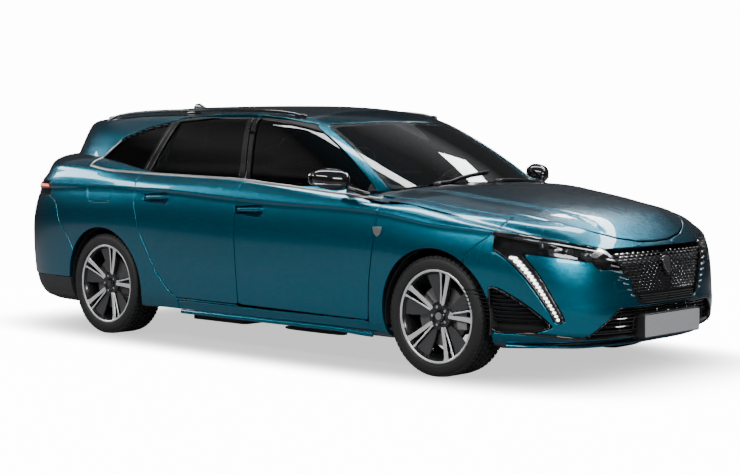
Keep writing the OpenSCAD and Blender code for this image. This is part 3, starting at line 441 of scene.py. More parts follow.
def trim(v, t, s):
    """Keeps the part of a mesh where s < 0, cut along s = 0."""
    if not len(t):
        return v, t
    v, t, s = slice_at(v, t, s(v))
    return tidy(v, t[s[t].sum(1) < 0])


def grid_mesh(p, closed=False):
    """Triangles over a (rows, columns, 3) grid."""
    r, c = p.shape[:2]
    i = np.arange(r * c).reshape(r, c)
    if closed:
        i = np.concatenate([i, i[:, :1]], axis=1)
    a, b, d, e = i[:-1, :-1].ravel(), i[:-1, 1:].ravel(), i[1:, 1:].ravel(), i[1:, :-1].ravel()
    return p.reshape(-1, 3), np.concatenate([np.stack([a, b, d], 1), np.stack([a, d, e], 1)])


def outward(v, t, n):
    """Turns triangles so that they face along n."""
    f = np.cross(v[t[:, 1]] - v[t[:, 0]], v[t[:, 2]] - v[t[:, 0]])
    flip = (f * n[t].sum(1)).sum(1) < 0
    t = t.copy()
    t[flip] = t[flip][:, ::-1]
    return t


def arc_params(point_at, spacing):
    """Parameters a in 0..1 along a plan curve at equal distances."""
    a = np.linspace(0, 1, 1500)
    x, y = point_at(a)
    d = np.concatenate([[0], np.cumsum(np.hypot(np.diff(x), np.diff(y)))])
    return np.interp(np.linspace(0, d[-1], max(int(d[-1] / spacing), 2)), d, a)


def make_bases(fine=1.0):
    """The smooth surfaces of the left half, trimmed where they meet, with edge rows for the fillets."""
    levels = np.concatenate([np.linspace(0, 1, int(30 * fine)), [1.35, 1.7, 2], np.linspace(2.2, 4, 9),
                             np.linspace(4.25, 6, 8), [6.5, 7]])
    mid = np.full(1500, 1.0)

    def front_plan(a):
        e = np.interp(mid[:len(a)], *NOSE_END)
        c, s = np.cos(a * math.pi / 2), np.sin(a * math.pi / 2)
        return TURN_F + (e - TURN_F) * np.maximum(c, 0) ** (2 / NOSE_POW), 880 * s ** (2 / NOSE_POW)

    def rear_plan(a):
        c, s = np.cos(a * math.pi / 2), np.sin(a * math.pi / 2)
        return TURN_R - 1038 * np.maximum(c, 0) ** (2 / TAIL_POW), 900 * s ** (2 / TAIL_POW)
    af, ar = arc_params(front_plan, 18 / fine), arc_params(rear_plan, 20 / fine)[::-1]
    xs = np.linspace(TURN_F, TURN_R, int(130 * fine))[1:-1]
    columns = []
    for l in levels:
        lv = lambda n: np.full(n, l)
        c, s = np.cos(af * math.pi / 2), np.sin(af * math.pi / 2)
        x = TURN_F + (np.interp(l, *NOSE_END) - TURN_F) * np.maximum(c, 0) ** (2 / NOSE_POW)
        z = level_z(lv(len(x)), x)
        f = np.stack([x, width_at(x, z) * np.maximum(s, 0) ** (2 / NOSE_POW), z], 1)
        z = level_z(lv(len(xs)), xs)
        m = np.stack([xs, width_at(xs, z), z], 1)
        c, s = np.cos(ar * math.pi / 2), np.sin(ar * math.pi / 2)
        x = TURN_R + (np.interp(l, *TAIL_END) - TURN_R) * np.maximum(c, 0) ** (2 / TAIL_POW)
        z = level_z(lv(len(x)), x)
        r = np.stack([x, width_at(x, z) * np.maximum(s, 0) ** (2 / TAIL_POW), z], 1)
        columns.append(np.concatenate([f, m, r]))
    bases = {"flank": (*grid_mesh(np.array(columns)), lower_body)}
    gx, gy = np.meshgrid(np.linspace(870, 2330, int(75 * fine)), np.linspace(0, 830, int(46 * fine)), indexing="ij")
    gp = np.stack([gx, gy, deck(gx.ravel(), gy.ravel()).reshape(gx.shape)], 2)
    bases["deck"] = (*grid_mesh(gp), lower_body)
    gx, gy = np.meshgrid(np.linspace(-2330, -1400, int(50 * fine)), np.linspace(0, 830, int(46 * fine)), indexing="ij")
    gp = np.stack([gx, gy, deck(gx.ravel(), gy.ravel()).reshape(gx.shape)], 2)
    bases["shelf"] = (*grid_mesh(gp), lower_body)
    zs = np.concatenate([np.linspace(862, 1290, int(30 * fine)), np.linspace(1300, 1470, int(16 * fine))])

    def ring(z, a, is_front):
        xf, xr, w = curve(SCREEN, z), curve(GATE, z), curve(CABIN, z)
        c, s = np.maximum(np.cos(a * math.pi / 2), 0), np.maximum(np.sin(a * math.pi / 2), 0)
        if is_front:
            sag = 150 * (s ** (2 / SCREEN_POW)) ** 2
            x = xf - 700 + (700 - sag) * c ** (2 / SCREEN_POW)
            y = s ** (2 / SCREEN_POW)
        else:
            x = TURN_R + (xr - TURN_R) * c ** (2 / GATE_POW)
            y = s ** (2 / GATE_POW)
        return x, w * narrow(x) * y
    cf = arc_params(lambda a: ring(1100.0, a, True), 18 / fine)
    cr = arc_params(lambda a: ring(1100.0, a, False), 18 / fine)[::-1]
    rows = []
    for z in zs:
        xa, ya = ring(z, cf, True)
        x0 = curve(SCREEN, z) - 700
        xs = np.linspace(x0, TURN_R, int(80 * fine))[1:-1]
        xb, yb = ring(z, cr, False)
        x, y = np.concatenate([xa, xs, xb]), np.concatenate([ya, curve(CABIN, z) * narrow(xs), yb])
        rows.append(np.stack([x, y, np.full_like(x, z)], 1))
    bases["cabin"] = (*grid_mesh(np.array(rows)), upper_body)
    gx, gy = np.meshgrid(np.linspace(-2330, 720, int(110 * fine)), np.linspace(0, 800, int(42 * fine)), indexing="ij")
    gp = np.stack([gx, gy, roof(gx.ravel(), gy.ravel()).reshape(gx.shape)], 2)
    bases["roof"] = (*grid_mesh(gp), upper_body)
    to_deck = lambda p: p[:, 2] - deck(p[:, 0], p[:, 1])
    to_flank = lambda p: flank(*p.T)
    to_roof = lambda p: p[:, 2] - roof(p[:, 0], p[:, 1])
    to_cabin = lambda p: cabin(*p.T)
    cuts = {"flank": [to_deck, out(upper_body)], "deck": [to_flank, out(upper_body)],
            "shelf": [to_flank, out(upper_body)],
            "cabin": [to_roof, out(lower_body)], "roof": [to_cabin]}
    for name, (v, t, field) in list(bases.items()):
        for s in cuts[name]:
            v, t = trim(v, t, s)
        edge = cuts[name][0]
        for d in (6, 12, 18, 24, 30):
            v, t, _ = slice_at(v, t, edge(v) + d)
        v = settle(field, v)
        v[:, 1] = np.maximum(v[:, 1], 0)
        bases[name] = (v, outward(v, t, gradient(field, v)), field)
    return bases


# ---- meshes and pieces ----
def mesh_object(name, v, t, n=None, sharp=None):
    """A mesh object from millimetre points, triangles or quads, and either given normals or a sharpness angle."""
    me = bpy.data.meshes.new(name)
    v, t = np.asarray(v, float), np.asarray(t)
    me.from_pydata([], [], [])
    me.vertices.add(len(v))
    me.vertices.foreach_set("co", (v * .001).astype(np.float32).ravel())
    k = t.shape[1]
    me.loops.add(len(t) * k)
    me.loops.foreach_set("vertex_index", t.astype(np.int32).ravel())
    me.polygons.add(len(t))
    me.polygons.foreach_set("loop_start", np.arange(0, len(t) * k, k, dtype=np.int32))
    me.update(calc_edges=True)
    me.validate()
    me.shade_smooth()
    if n is not None and len(me.vertices) == len(n):
        me.normals_split_custom_set_from_vertices(unit(n).astype(float).tolist())
    elif sharp is not None:
        me.set_sharp_from_angle(angle=math.radians(sharp))
    o = bpy.data.objects.new(name, me)
    bpy.context.scene.collection.objects.link(o)
    return o


def place(obj, body, material, slot=None, replaces=()):
    """Gives a piece its material and body, and hides the nodes that it stands for."""
    obj.data.materials.append(MATERIALS[material])
    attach(obj, body)
    if replaces:
        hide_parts(*replaces)
    return obj


def sided(v, t, n, s):
    """A half surface on the left (1), on the right (-1) or on both sides welded at the middle (0)."""
    if s == 1:
        return v, t, n
    m = np.array([1, -1, 1])
    if s == -1:
        return v * m, t[:, ::-1], n * m
    k, middle = len(v), v[:, 1] < .02
    index = np.arange(k) + k
    index[middle] = np.nonzero(middle)[0]
    n = n.copy()
    n[middle, 1] = 0
    v2, t2 = np.concatenate([v, v * m]), np.concatenate([t, index[t[:, ::-1]]])
    used, inverse = np.unique(t2, return_inverse=True)
    return v2[used], inverse.reshape(t2.shape), np.concatenate([n, n * m])[used]


def join(parts):
    """Several (points, faces, normals) as one."""
    base, vs, ts, ns = 0, [], [], []
    for v, t, n in parts:
        vs.append(v), ts.append(t + base), ns.append(n)
        base += len(v)
    return np.concatenate(vs), np.concatenate(ts), np.concatenate(ns)


def skin(names, conditions, gap=GAP, roll=ROLL, depth=0.0, rim=14.0, wall=None):
    """Cuts a half panel out of base surfaces. The rolled edge is a quarter circle, the rim runs inwards from it, and
    wall(points, normals) gives the inner face where the panel has one."""
    parts = []
    whole = lambda p: np.maximum.reduce([c(p) for c in conditions]) + gap
    for b in names:
        v, t, field = BASES[b]
        for c in conditions:
            v, t = trim(v, t, lambda p, c=c: c(p) + gap)
        if not len(t):
            continue
        if roll:
            for d in (.25, .6, 1):
                v, t, _ = slice_at(v, t, whole(v) + d * roll)
        v, t = tidy(v, t)
        n, s = unit(gradient(field, v)), whole(v)
        g = gradient(whole, v, .4)
        g = unit(g - (g * n).sum(1, keepdims=True) * n)
        k = 1 - np.clip(-s / roll, 0, 1) if roll else 0 * s
        k = k[:, None]
        up = np.sqrt(1 - k * k)
        top = v - n * (roll * (1 - up) + depth)
        bend = unit(n * up + g * k)
        parts.append((top, t, bend))
        e = np.concatenate([t[:, [0, 1]], t[:, [1, 2]], t[:, [2, 0]]])
        _, first, count = np.unique(np.sort(e, 1), axis=0, return_index=True, return_counts=True)
        e = e[first[count == 1]]
        e = e[(s[e] > -.05).all(1)]
        under = wall(v, n) if wall else top - n * rim
        if len(e) and (rim or wall):
            used, inverse = np.unique(e, return_inverse=True)
            inverse = inverse.reshape(e.shape)
            m = len(used)
            quad = np.concatenate([np.stack([inverse[:, 1], inverse[:, 0], inverse[:, 0] + m], 1),
                                   np.stack([inverse[:, 1], inverse[:, 0] + m, inverse[:, 1] + m], 1)])
            parts.append((np.concatenate([top[used], under[used]]), quad, np.concatenate([g[used], g[used]])))
        if wall:
            parts.append((under, t[:, ::-1], -n))
    return join(parts) if parts else None


def panel(name, body, material, names, conditions, s=0, slot=None, replaces=(), **kw):
    """A piece cut by skin() and put on its side."""
    half = skin(names, conditions, **kw)
    return place(mesh_object(name, *sided(*half, s)), body, material, slot, replaces)


def smooth_normals(v, t):
    """Vertex normals from area-weighted faces."""
    f = np.cross(v[t[:, 1]] - v[t[:, 0]], v[t[:, 2]] - v[t[:, 0]])
    n = np.zeros_like(v)
    for k in range(t.shape[1]):
        np.add.at(n, t[:, k], f)
    return unit(n)


def lathe(profile, count=96, start=0.0):
    """Turns a closed profile of (radius, y) about the Y axis."""
    p = np.asarray(profile, float)
    p = np.concatenate([p, p[:1]])
    a = np.linspace(0, 2 * math.pi, count, endpoint=False) + start
    g = np.stack([np.outer(p[:, 0], np.cos(a)), np.repeat(p[:, 1:2], count, 1), np.outer(p[:, 0], np.sin(a))], 2)
    return grid_mesh(g, closed=True)


def tube(path, radii, sides=12, flat=1.0, up=(0, 0, 1), cap=True):
    """Sweeps an ellipse along a path; flat scales it along up. Ends are closed by fans."""
    p = np.asarray(path, float)
    r = np.broadcast_to(np.asarray(radii, float), (len(p),))
    d = unit(np.gradient(p, axis=0))
    a = unit(np.cross(d, np.asarray(up, float)))
    b = np.cross(a, d)
    w = np.linspace(0, 2 * math.pi, sides, endpoint=False)
    g = p[:, None] + r[:, None, None] * (a[:, None] * np.cos(w)[None, :, None]
                                         + flat * b[:, None] * np.sin(w)[None, :, None])
    v, t = grid_mesh(g, closed=True)
    if cap:
        n, k = len(v), len(p)
        v = np.concatenate([v, p[:1], p[-1:]])
        i = np.arange(sides)
        j = (i + 1) % sides
        t = np.concatenate([t, np.stack([j, i, np.full(sides, n)], 1),
                            np.stack([(k - 1) * sides + i, (k - 1) * sides + j, np.full(sides, n + 1)], 1)])
    return v, t


def extrude(outline, low, high, to, bevel=0.0):
    """A prism between two heights over a plan outline, with a bevelled top edge; to(points) maps it into place."""
    o = np.asarray(outline, float)
    area = (o[:, 0] * np.roll(o[:, 1], -1) - np.roll(o[:, 0], -1) * o[:, 1]).sum()
    if area < 0:
        o = o[::-1]
    c = o.mean(0)
    q = unit(np.roll(o, -1, 0) - np.roll(o, 1, 0))
    inward = np.stack([-q[:, 1], q[:, 0]], 1)
    rings = [(o, low), (o, high - bevel), (o + inward * bevel, high)] if bevel else [(o, low), (o, high)]
    n, k = len(o), len(rings)
    v = np.concatenate([np.c_[r, np.full(n, h)] for r, h in rings] + [[[*c, high]], [[*c, low]]])
    i = np.arange(n)
    j = (i + 1) % n
    t = [np.stack([m * n + i, m * n + j, (m + 1) * n + j], 1) for m in range(k - 1)]
    t += [np.stack([m * n + i, (m + 1) * n + j, (m + 1) * n + i], 1) for m in range(k - 1)]
    t += [np.stack([(k - 1) * n + i, (k - 1) * n + j, np.full(n, k * n)], 1),
          np.stack([j, i, np.full(n, k * n + 1)], 1)]
    return to(v), np.concatenate(t)


def superblob(centre, half, px=3.0, pz=3.0, n=32, m=20, lean=None):
    """A rounded block: a superellipsoid with its own power in plan and in height, optionally reshaped by lean(p)."""
    a = np.linspace(0, 2 * math.pi, n, endpoint=False)
    b = np.linspace(-math.pi / 2, math.pi / 2, m)
    f = lambda x, p: np.sign(x) * np.abs(x) ** (2 / p)
    ring = f(np.cos(b), pz)[:, None]
    g = np.stack([ring * f(np.cos(a), px)[None], ring * f(np.sin(a), px)[None],
                  np.repeat(f(np.sin(b), pz)[:, None], n, 1)], 2)
    g[0], g[-1] = g[0].mean(0), g[-1].mean(0)
    g = g * np.asarray(half, float) + np.asarray(centre, float)
    v, t = grid_mesh(g, closed=True)
    if lean:
        v = lean(v)
    return v, t


def clean(v, t):
    """Merges points that coincide and drops empty faces."""
    key = np.round(v, 3)
    _, first, inverse = np.unique(key, axis=0, return_index=True, return_inverse=True)
    t = inverse.reshape(-1)[t]
    good = (t[:, 0] != t[:, 1]) & (t[:, 1] != t[:, 2]) & (t[:, 2] != t[:, 0])
    return v[first], t[good]


def merged(parts):
    """Several (points, triangles) as one."""
    base, vs, ts = 0, [], []
    for v, t in parts:
        vs.append(v), ts.append(t + base)
        base += len(v)
    return np.concatenate(vs), np.concatenate(ts)


def facing_out(v, t):
    """Turns a closed mesh round if its signed volume is negative."""
    c = np.cross(v[t[:, 1]] - v[t[:, 0]], v[t[:, 2]] - v[t[:, 0]])
    return (v, t) if ((v - v.mean(0))[t[:, 0]] * c).sum() > 0 else (v, t[:, ::-1])


def mirrored(v, t):
    return v * np.array([1, -1, 1]), t[:, ::-1]


def solid(name, body, material, parts, s=1, sharp=35, **kw):
    """A piece from (points, triangles) parts, on the left (1), the right (-1) or both sides (0)."""
    v, t = merged(parts)
    if s == -1:
        v, t = mirrored(v, t)
    elif s == 0:
        v, t = merged([(v, t), mirrored(v, t)])
    v, t = clean(v, t)
    return place(mesh_object(name, v, t, sharp=sharp), body, material, **kw)


# ---- materials ----
MATERIALS = {}


class Nodes:
    """A small helper that adds nodes to a tree and links them."""

    def __init__(self, tree):
        self.tree = tree

    def add(self, kind, settings=None, **inputs):
        n = self.tree.nodes.new(kind)
        for k, v in (settings or {}).items():
            setattr(n, k, v)
        for k, v in inputs.items():
            s = n.inputs[int(k[1:])] if k[0] == "i" and k[1:].isdigit() else n.inputs[k.replace("_", " ")]
            if isinstance(v, bpy.types.NodeSocket):
                self.tree.links.new(v, s)
            else:
                s.default_value = v
        return n


def noise_group():
    """Node group: grain, a noise mask whose scale, detail and contrast are set, with a normal from it."""
    g = bpy.data.node_groups.new("SurfaceGrain", "ShaderNodeTree")
    for n, k, d in (("Vector", "NodeSocketVector", None), ("Scale", "NodeSocketFloat", 200.0),
                    ("Stretch", "NodeSocketVector", (1, 1, 1)), ("Depth", "NodeSocketFloat", .1)):
        s = g.interface.new_socket(n, in_out="INPUT", socket_type=k)
        if d is not None:
            s.default_value = d
    for n, k in (("Mask", "NodeSocketFloat"), ("Normal", "NodeSocketVector")):
        g.interface.new_socket(n, in_out="OUTPUT", socket_type=k)
    t = Nodes(g)
    i, o = t.add("NodeGroupInput"), t.add("NodeGroupOutput")
    m = t.add("ShaderNodeVectorMath", {"operation": "MULTIPLY"}, i0=i.outputs[0], i1=i.outputs[2])
    n = t.add("ShaderNodeTexNoise", {}, Vector=m.outputs[0], Scale=i.outputs[1], Detail=3.0, Roughness=.6)
    b = t.add("ShaderNodeBump", {}, Strength=i.outputs[3], Distance=.001, Height=n.outputs[0])
    g.links.new(n.outputs[0], o.inputs[0])
    g.links.new(b.outputs[0], o.inputs[1])
    return g


def flake_group():
    """Node group: metallic flakes, small cells with their own tilt, and a random brightness per cell that the paint
    mixes into its colour as painted glints.
    """
    g = bpy.data.node_groups.new("MetalFlake", "ShaderNodeTree")
    g.interface.new_socket("Vector", in_out="INPUT", socket_type="NodeSocketVector")
    g.interface.new_socket("Size", in_out="INPUT", socket_type="NodeSocketFloat").default_value = 900
    g.interface.new_socket("Tilt", in_out="INPUT", socket_type="NodeSocketFloat").default_value = .1
    for n, k in (("Glint", "NodeSocketFloat"), ("Normal", "NodeSocketVector")):
        g.interface.new_socket(n, in_out="OUTPUT", socket_type=k)
    t = Nodes(g)
    i, o = t.add("NodeGroupInput"), t.add("NodeGroupOutput")
    v = t.add("ShaderNodeTexVoronoi", {"feature": "F1"}, Vector=i.outputs[0], Scale=i.outputs[1])
    c = t.add("ShaderNodeSeparateColor", {}, Color=v.outputs["Color"])
    b = t.add("ShaderNodeBump", {}, Strength=i.outputs[2], Distance=.0004, Height=c.outputs[0])
    g.links.new(c.outputs[1], o.inputs[0])
    g.links.new(b.outputs[0], o.inputs[1])
    return g


def weave_group():
    """Node group: a plain weave from two crossed waves, as height and as a mask."""
    g = bpy.data.node_groups.new("ClothWeave", "ShaderNodeTree")
    g.interface.new_socket("Vector", in_out="INPUT", socket_type="NodeSocketVector")
    g.interface.new_socket("Threads", in_out="INPUT", socket_type="NodeSocketFloat").default_value = 300
    for n, k in (("Mask", "NodeSocketFloat"), ("Normal", "NodeSocketVector")):
        g.interface.new_socket(n, in_out="OUTPUT", socket_type=k)
    t = Nodes(g)
    i, o = t.add("NodeGroupInput"), t.add("NodeGroupOutput")
    a = t.add("ShaderNodeTexWave", {"bands_direction": "Y"}, Vector=i.outputs[0], Scale=i.outputs[1], Distortion=.6)
    b = t.add("ShaderNodeTexWave", {"bands_direction": "Z"}, Vector=i.outputs[0], Scale=i.outputs[1], Distortion=.6)
    m = t.add("ShaderNodeMath", {"operation": "MAXIMUM"}, i0=a.outputs[1], i1=b.outputs[1])
    u = t.add("ShaderNodeBump", {}, Strength=.35, Distance=.0006, Height=m.outputs[0])
    g.links.new(m.outputs[0], o.inputs[0])
    g.links.new(u.outputs[0], o.inputs[1])
    return g


def surface(name, dark, light, rough=(.4, .55), metal=0.0, scale=60.0, stretch=(1, 1, 1), depth=.08, coat=0.0,
            coat_rough=.03, sheen=0.0, ior=1.5):
    """A material whose colour and roughness vary with grain."""
    m = bpy.data.materials.new(name)
    m.use_nodes = True
    t = Nodes(m.node_tree)
    p = m.node_tree.nodes["Principled BSDF"]
    c = t.add("ShaderNodeTexCoord")
    g = t.add("ShaderNodeGroup", {"node_tree": GROUPS["grain"]}, Vector=c.outputs["Object"], Scale=scale,
              Stretch=stretch, Depth=depth)
    k = t.add("ShaderNodeMix", {"data_type": "RGBA"}, Factor=g.outputs[0], A=(*dark, 1), B=(*light, 1))
    r = t.add("ShaderNodeMapRange", {}, Value=g.outputs[0], To_Min=rough[0], To_Max=rough[1])
    link = m.node_tree.links.new
    link(k.outputs[2], p.inputs["Base Color"])
    link(r.outputs[0], p.inputs["Roughness"])
    link(g.outputs[1], p.inputs["Normal"])
    for n, v in (("Metallic", metal), ("Coat Weight", coat), ("Coat Roughness", coat_rough), ("Sheen Weight", sheen),
                 ("IOR", ior)):
        p.inputs[n].default_value = v
    MATERIALS[name] = m
    return m, t, p, c


def glass(name, tint, rough=.0, scale=4.0):
    """Clear or tinted glass with slight unevenness in its tint."""
    m = bpy.data.materials.new(name)
    m.use_nodes = True
    t = Nodes(m.node_tree)
    p = m.node_tree.nodes["Principled BSDF"]
    c = t.add("ShaderNodeTexCoord")
    n = t.add("ShaderNodeTexNoise", {}, Vector=c.outputs["Object"], Scale=scale, Detail=1.0)
    k = t.add("ShaderNodeMix", {"data_type": "RGBA"}, Factor=n.outputs[0], A=(*[x * .92 for x in tint], 1),
              B=(*tint, 1))
    m.node_tree.links.new(k.outputs[2], p.inputs["Base Color"])
    for q, v in (("Transmission Weight", 1.0), ("Roughness", rough), ("IOR", 1.45), ("Metallic", 0.0)):
        p.inputs[q].default_value = v
    MATERIALS[name] = m
    return m


GROUPS = {}


def make_materials(look):
    """All materials of the car and its stage."""
    GROUPS.update(grain=noise_group(), flake=flake_group(), weave=weave_group())
    deep, bright = tuple(look.paint_deep), tuple(look.paint_bright)
    m, t, p, c = surface("paint", deep, bright, (.24, .30), metal=.92, scale=900, depth=0, coat=1.0, coat_rough=.015)
    link = m.node_tree.links.new
    f = t.add("ShaderNodeGroup", {"node_tree": GROUPS["flake"]}, Vector=c.outputs["Object"], Size=look.flakes, Tilt=.22)
    w = t.add("ShaderNodeLayerWeight", {}, Blend=.42)
    r = t.add("ShaderNodeValToRGB", {}, Fac=w.outputs["Facing"])
    r.color_ramp.elements[0].color, r.color_ramp.elements[1].color = (*bright, 1), (*deep, 1)
    r.color_ramp.elements[0].position, r.color_ramp.elements[1].position = .12, .85
    k = t.add("ShaderNodeMix", {"data_type": "RGBA", "blend_type": "MULTIPLY"}, Factor=.25, A=r.outputs[0],
              B=(1, 1, 1, 1))
    # each flake's brightness scales the base colour: painted glints of the flakes
    v = t.add("ShaderNodeMapRange", {}, Value=f.outputs[0], To_Min=.55, To_Max=1.25)
    vv = t.add("ShaderNodeCombineColor", {}, i0=v.outputs[0], i1=v.outputs[0], i2=v.outputs[0])
    link(vv.outputs[0], k.inputs["B"])
    link(k.outputs[2], p.inputs["Base Color"])
    link(f.outputs[1], p.inputs["Normal"])
    surface("gloss_black", (.004, .004, .005), (.012, .012, .013), (.05, .11), scale=30, depth=.01, coat=1.0)
    surface("satin_black", (.012, .012, .013), (.028, .028, .03), (.3, .42), scale=500, depth=.05)
    surface("grained_black", (.012, .012, .013), (.035, .035, .037), (.5, .7), scale=900, depth=.3)
    # near-black matte sheet: painted shade standing in for the dark inside the grille and intakes
    surface("painted_shade_void", (.002, .002, .002), (.006, .006, .006), (.7, .9), scale=80)
    surface("trim_grey", (.34, .34, .34), (.50, .50, .50), (.22, .34), metal=.85, scale=300, stretch=(1, 1, 30),
            depth=.02)
    surface("bright_metal", (.62, .62, .63), (.82, .82, .83), (.16, .26), metal=1.0, scale=700, depth=.03, coat=.3)
    surface("spoke_cut", (.62, .62, .63), (.82, .82, .83), (.2, .32), metal=.3, scale=240, stretch=(1, .1, 1),
            depth=.04, coat=.7)
    surface("wheel_black", (.006, .006, .007), (.018, .018, .019), (.18, .3), scale=80, depth=.03, coat=.6)
    surface("wheel_grey", (.032, .032, .034), (.052, .052, .055), (.36, .5), scale=400, depth=.08, coat=.15)
    surface("brake_iron", (.16, .155, .15), (.34, .33, .32), (.3, .5), metal=.9, scale=120, stretch=(1, .2, 1),
            depth=.05)
    surface("cast_metal", (.22, .22, .22), (.42, .42, .42), (.45, .65), metal=.8, scale=500, depth=.4)
    surface("exhaust_steel", (.2, .18, .16), (.4, .38, .36), (.3, .5), metal=.95, scale=25, depth=.1)
    surface("chassis_black", (.012, .012, .013), (.05, .048, .046), (.5, .8), scale=40, depth=.25)
    surface("rubber", (.006, .006, .006), (.014, .014, .014), (.52, .68), scale=350, depth=.16)
    surface("seal", (.004, .004, .004), (.012, .012, .012), (.6, .75), scale=300, depth=.1)
    surface("lamp_red", (.16, .008, .004), (.3, .02, .01), (.08, .14), scale=60, coat=1.0)
    surface("plate", (.40, .41, .42), (.50, .51, .52), (.22, .3), scale=90, depth=.03, coat=.4)
    surface("carpet", (.01, .01, .011), (.035, .035, .037), (.85, 1.0), scale=1500, depth=.8, sheen=.3)
    surface("mirror_face", (.42, .45, .47), (.55, .57, .58), (.03, .07), metal=1.0, scale=20, depth=.005)
    surface("lamp_dark", (.010, .010, .011), (.045, .045, .05), (.12, .3), metal=.4, scale=60, depth=.1, coat=.6)
    surface("amber", (.5, .18, .01), (.7, .28, .03), (.1, .2), scale=60)
    for name, dark, light in (("seat_cloth", (.022, .023, .026), (.06, .062, .068)),
                              ("seat_side", (.012, .012, .014), (.032, .032, .036)),
                              ("headlining_cloth", (.30, .30, .29), (.44, .44, .43))):
        m, t, p, c = surface(name, dark, light, (.65, .85), scale=120, sheen=.25)
        w = t.add("ShaderNodeGroup", {"node_tree": GROUPS["weave"]}, Vector=c.outputs["Object"], Threads=160)
        k = t.add("ShaderNodeMix", {"data_type": "RGBA"}, Factor=w.outputs[0], A=(*dark, 1), B=(*light, 1))
        m.node_tree.links.new(k.outputs[2], p.inputs["Base Color"])
        m.node_tree.links.new(w.outputs[1], p.inputs["Normal"])
    glass("clear_glass", (.72, .76, .76))
    glass("tinted_glass", (.10, .105, .115))
    glass("lamp_glass", (.86, .88, .9))
    for name, colour, power in (("light_white", (1, .98, .95), 5.0), ("light_red", (1, .12, .05), 3.2)):
        m, t, p, c = surface(name, [x * .7 for x in colour], colour, (.1, .2), scale=200)
        w = t.add("ShaderNodeTexWave", {"bands_direction": "Z"}, Vector=c.outputs["Object"], Scale=26.0, Distortion=0.0)
        r = t.add("ShaderNodeMapRange", {}, Value=w.outputs[1], To_Min=power * .55, To_Max=power)
        m.node_tree.links.new(r.outputs[0], p.inputs["Emission Strength"])
        p.inputs["Emission Color"].default_value = (*colour, 1)


# ---- painted panels ----
DOOR_F, DOOR_R = side(FRONT_DOOR), side(REAR_DOOR)
WINDOW = side(BAND, 22)
POST_B, POST_C, SAIL_CUT = side(B_POST, 2), side(C_POST, 2), side(SAIL, 6)
SCREEN_HOLE, COWL_CUT, BONNET_CUT = plan(SCREEN_EDGE, 20), plan(COWL, 4), plan(BONNET, 26)
BONNET_ZONE = lambda p: np.maximum(BONNET_CUT(p), 600 - p[:, 2])
FENDER_SIDE, SILL_SIDE = side(FENDER, 3), side(SILL, 2)
REAR_BUMPER = side(BUMPER_R, 5)
FRONT_BUMPER = side(BUMPER_F, 4)
NOSE_CUT = front(NOSE_ZONE, 3, 1820)
LAMP_CUT = front(LAMP, 9, 1820)
GRILLE_CUT = front(both(GRILLE), 10, 1900)
INTAKE_CUT = front(both(INTAKE), 8, 1900)
SIDE_CUT = front(SIDE_INTAKE, 10, 1800)
LAMP_REAR = side(LAMP_R, 16)
GATE_CUT = lambda p: np.maximum(front([[-y, z] for y, z in GATE_SIDE[::-1]] + GATE_SIDE, 16)(p), p[:, 0] + 1833)
ARCH_FRONT, ARCH_REAR = arch(AXLE_F), arch(AXLE_R)
QUARTER_SIDE = side(QUARTER, 3)
FLAP_CUT = side(FLAP, 12)
# the front door's upper part stops beside the pillar
DOOR_TOP = lambda p: np.maximum(DOOR_F(p), PILLAR - SCREEN_HOLE(p))
HANDLES = {"front": (-52, 802, 238), "rear": (-868, 852, 232)}


def door_depth(p):
    """Thickness of a door at a height: thick below the window and thin round it."""
    return DOOR_T - (DOOR_T - FRAME_T) * step((p[:, 2] - 960) / 40)


def door_wall(p, _):
    """Inner face of a door: moved straight in, and thinner near the edge, so that it swings clear."""
    q = p.copy()
    q[:, 1] -= EDGE_T + (door_depth(p) - EDGE_T) * step(-np.minimum(DOOR_F(p), DOOR_R(p)) / 36)
    return q


def handle_cut(which):
    x0, z0, length = HANDLES[which]
    cx, cz = x0 + length / 2 - 10, z0 + 23

    def s(p):
        u = (p[:, 0] - cx) / (length * .5)
        w = 27 - 9 * np.clip(-u, -1, 1)
        return np.hypot(np.maximum(np.abs(p[:, 0] - cx) - length * .5 + w, 0), p[:, 2] - cz) - w
    return s, cx, cz


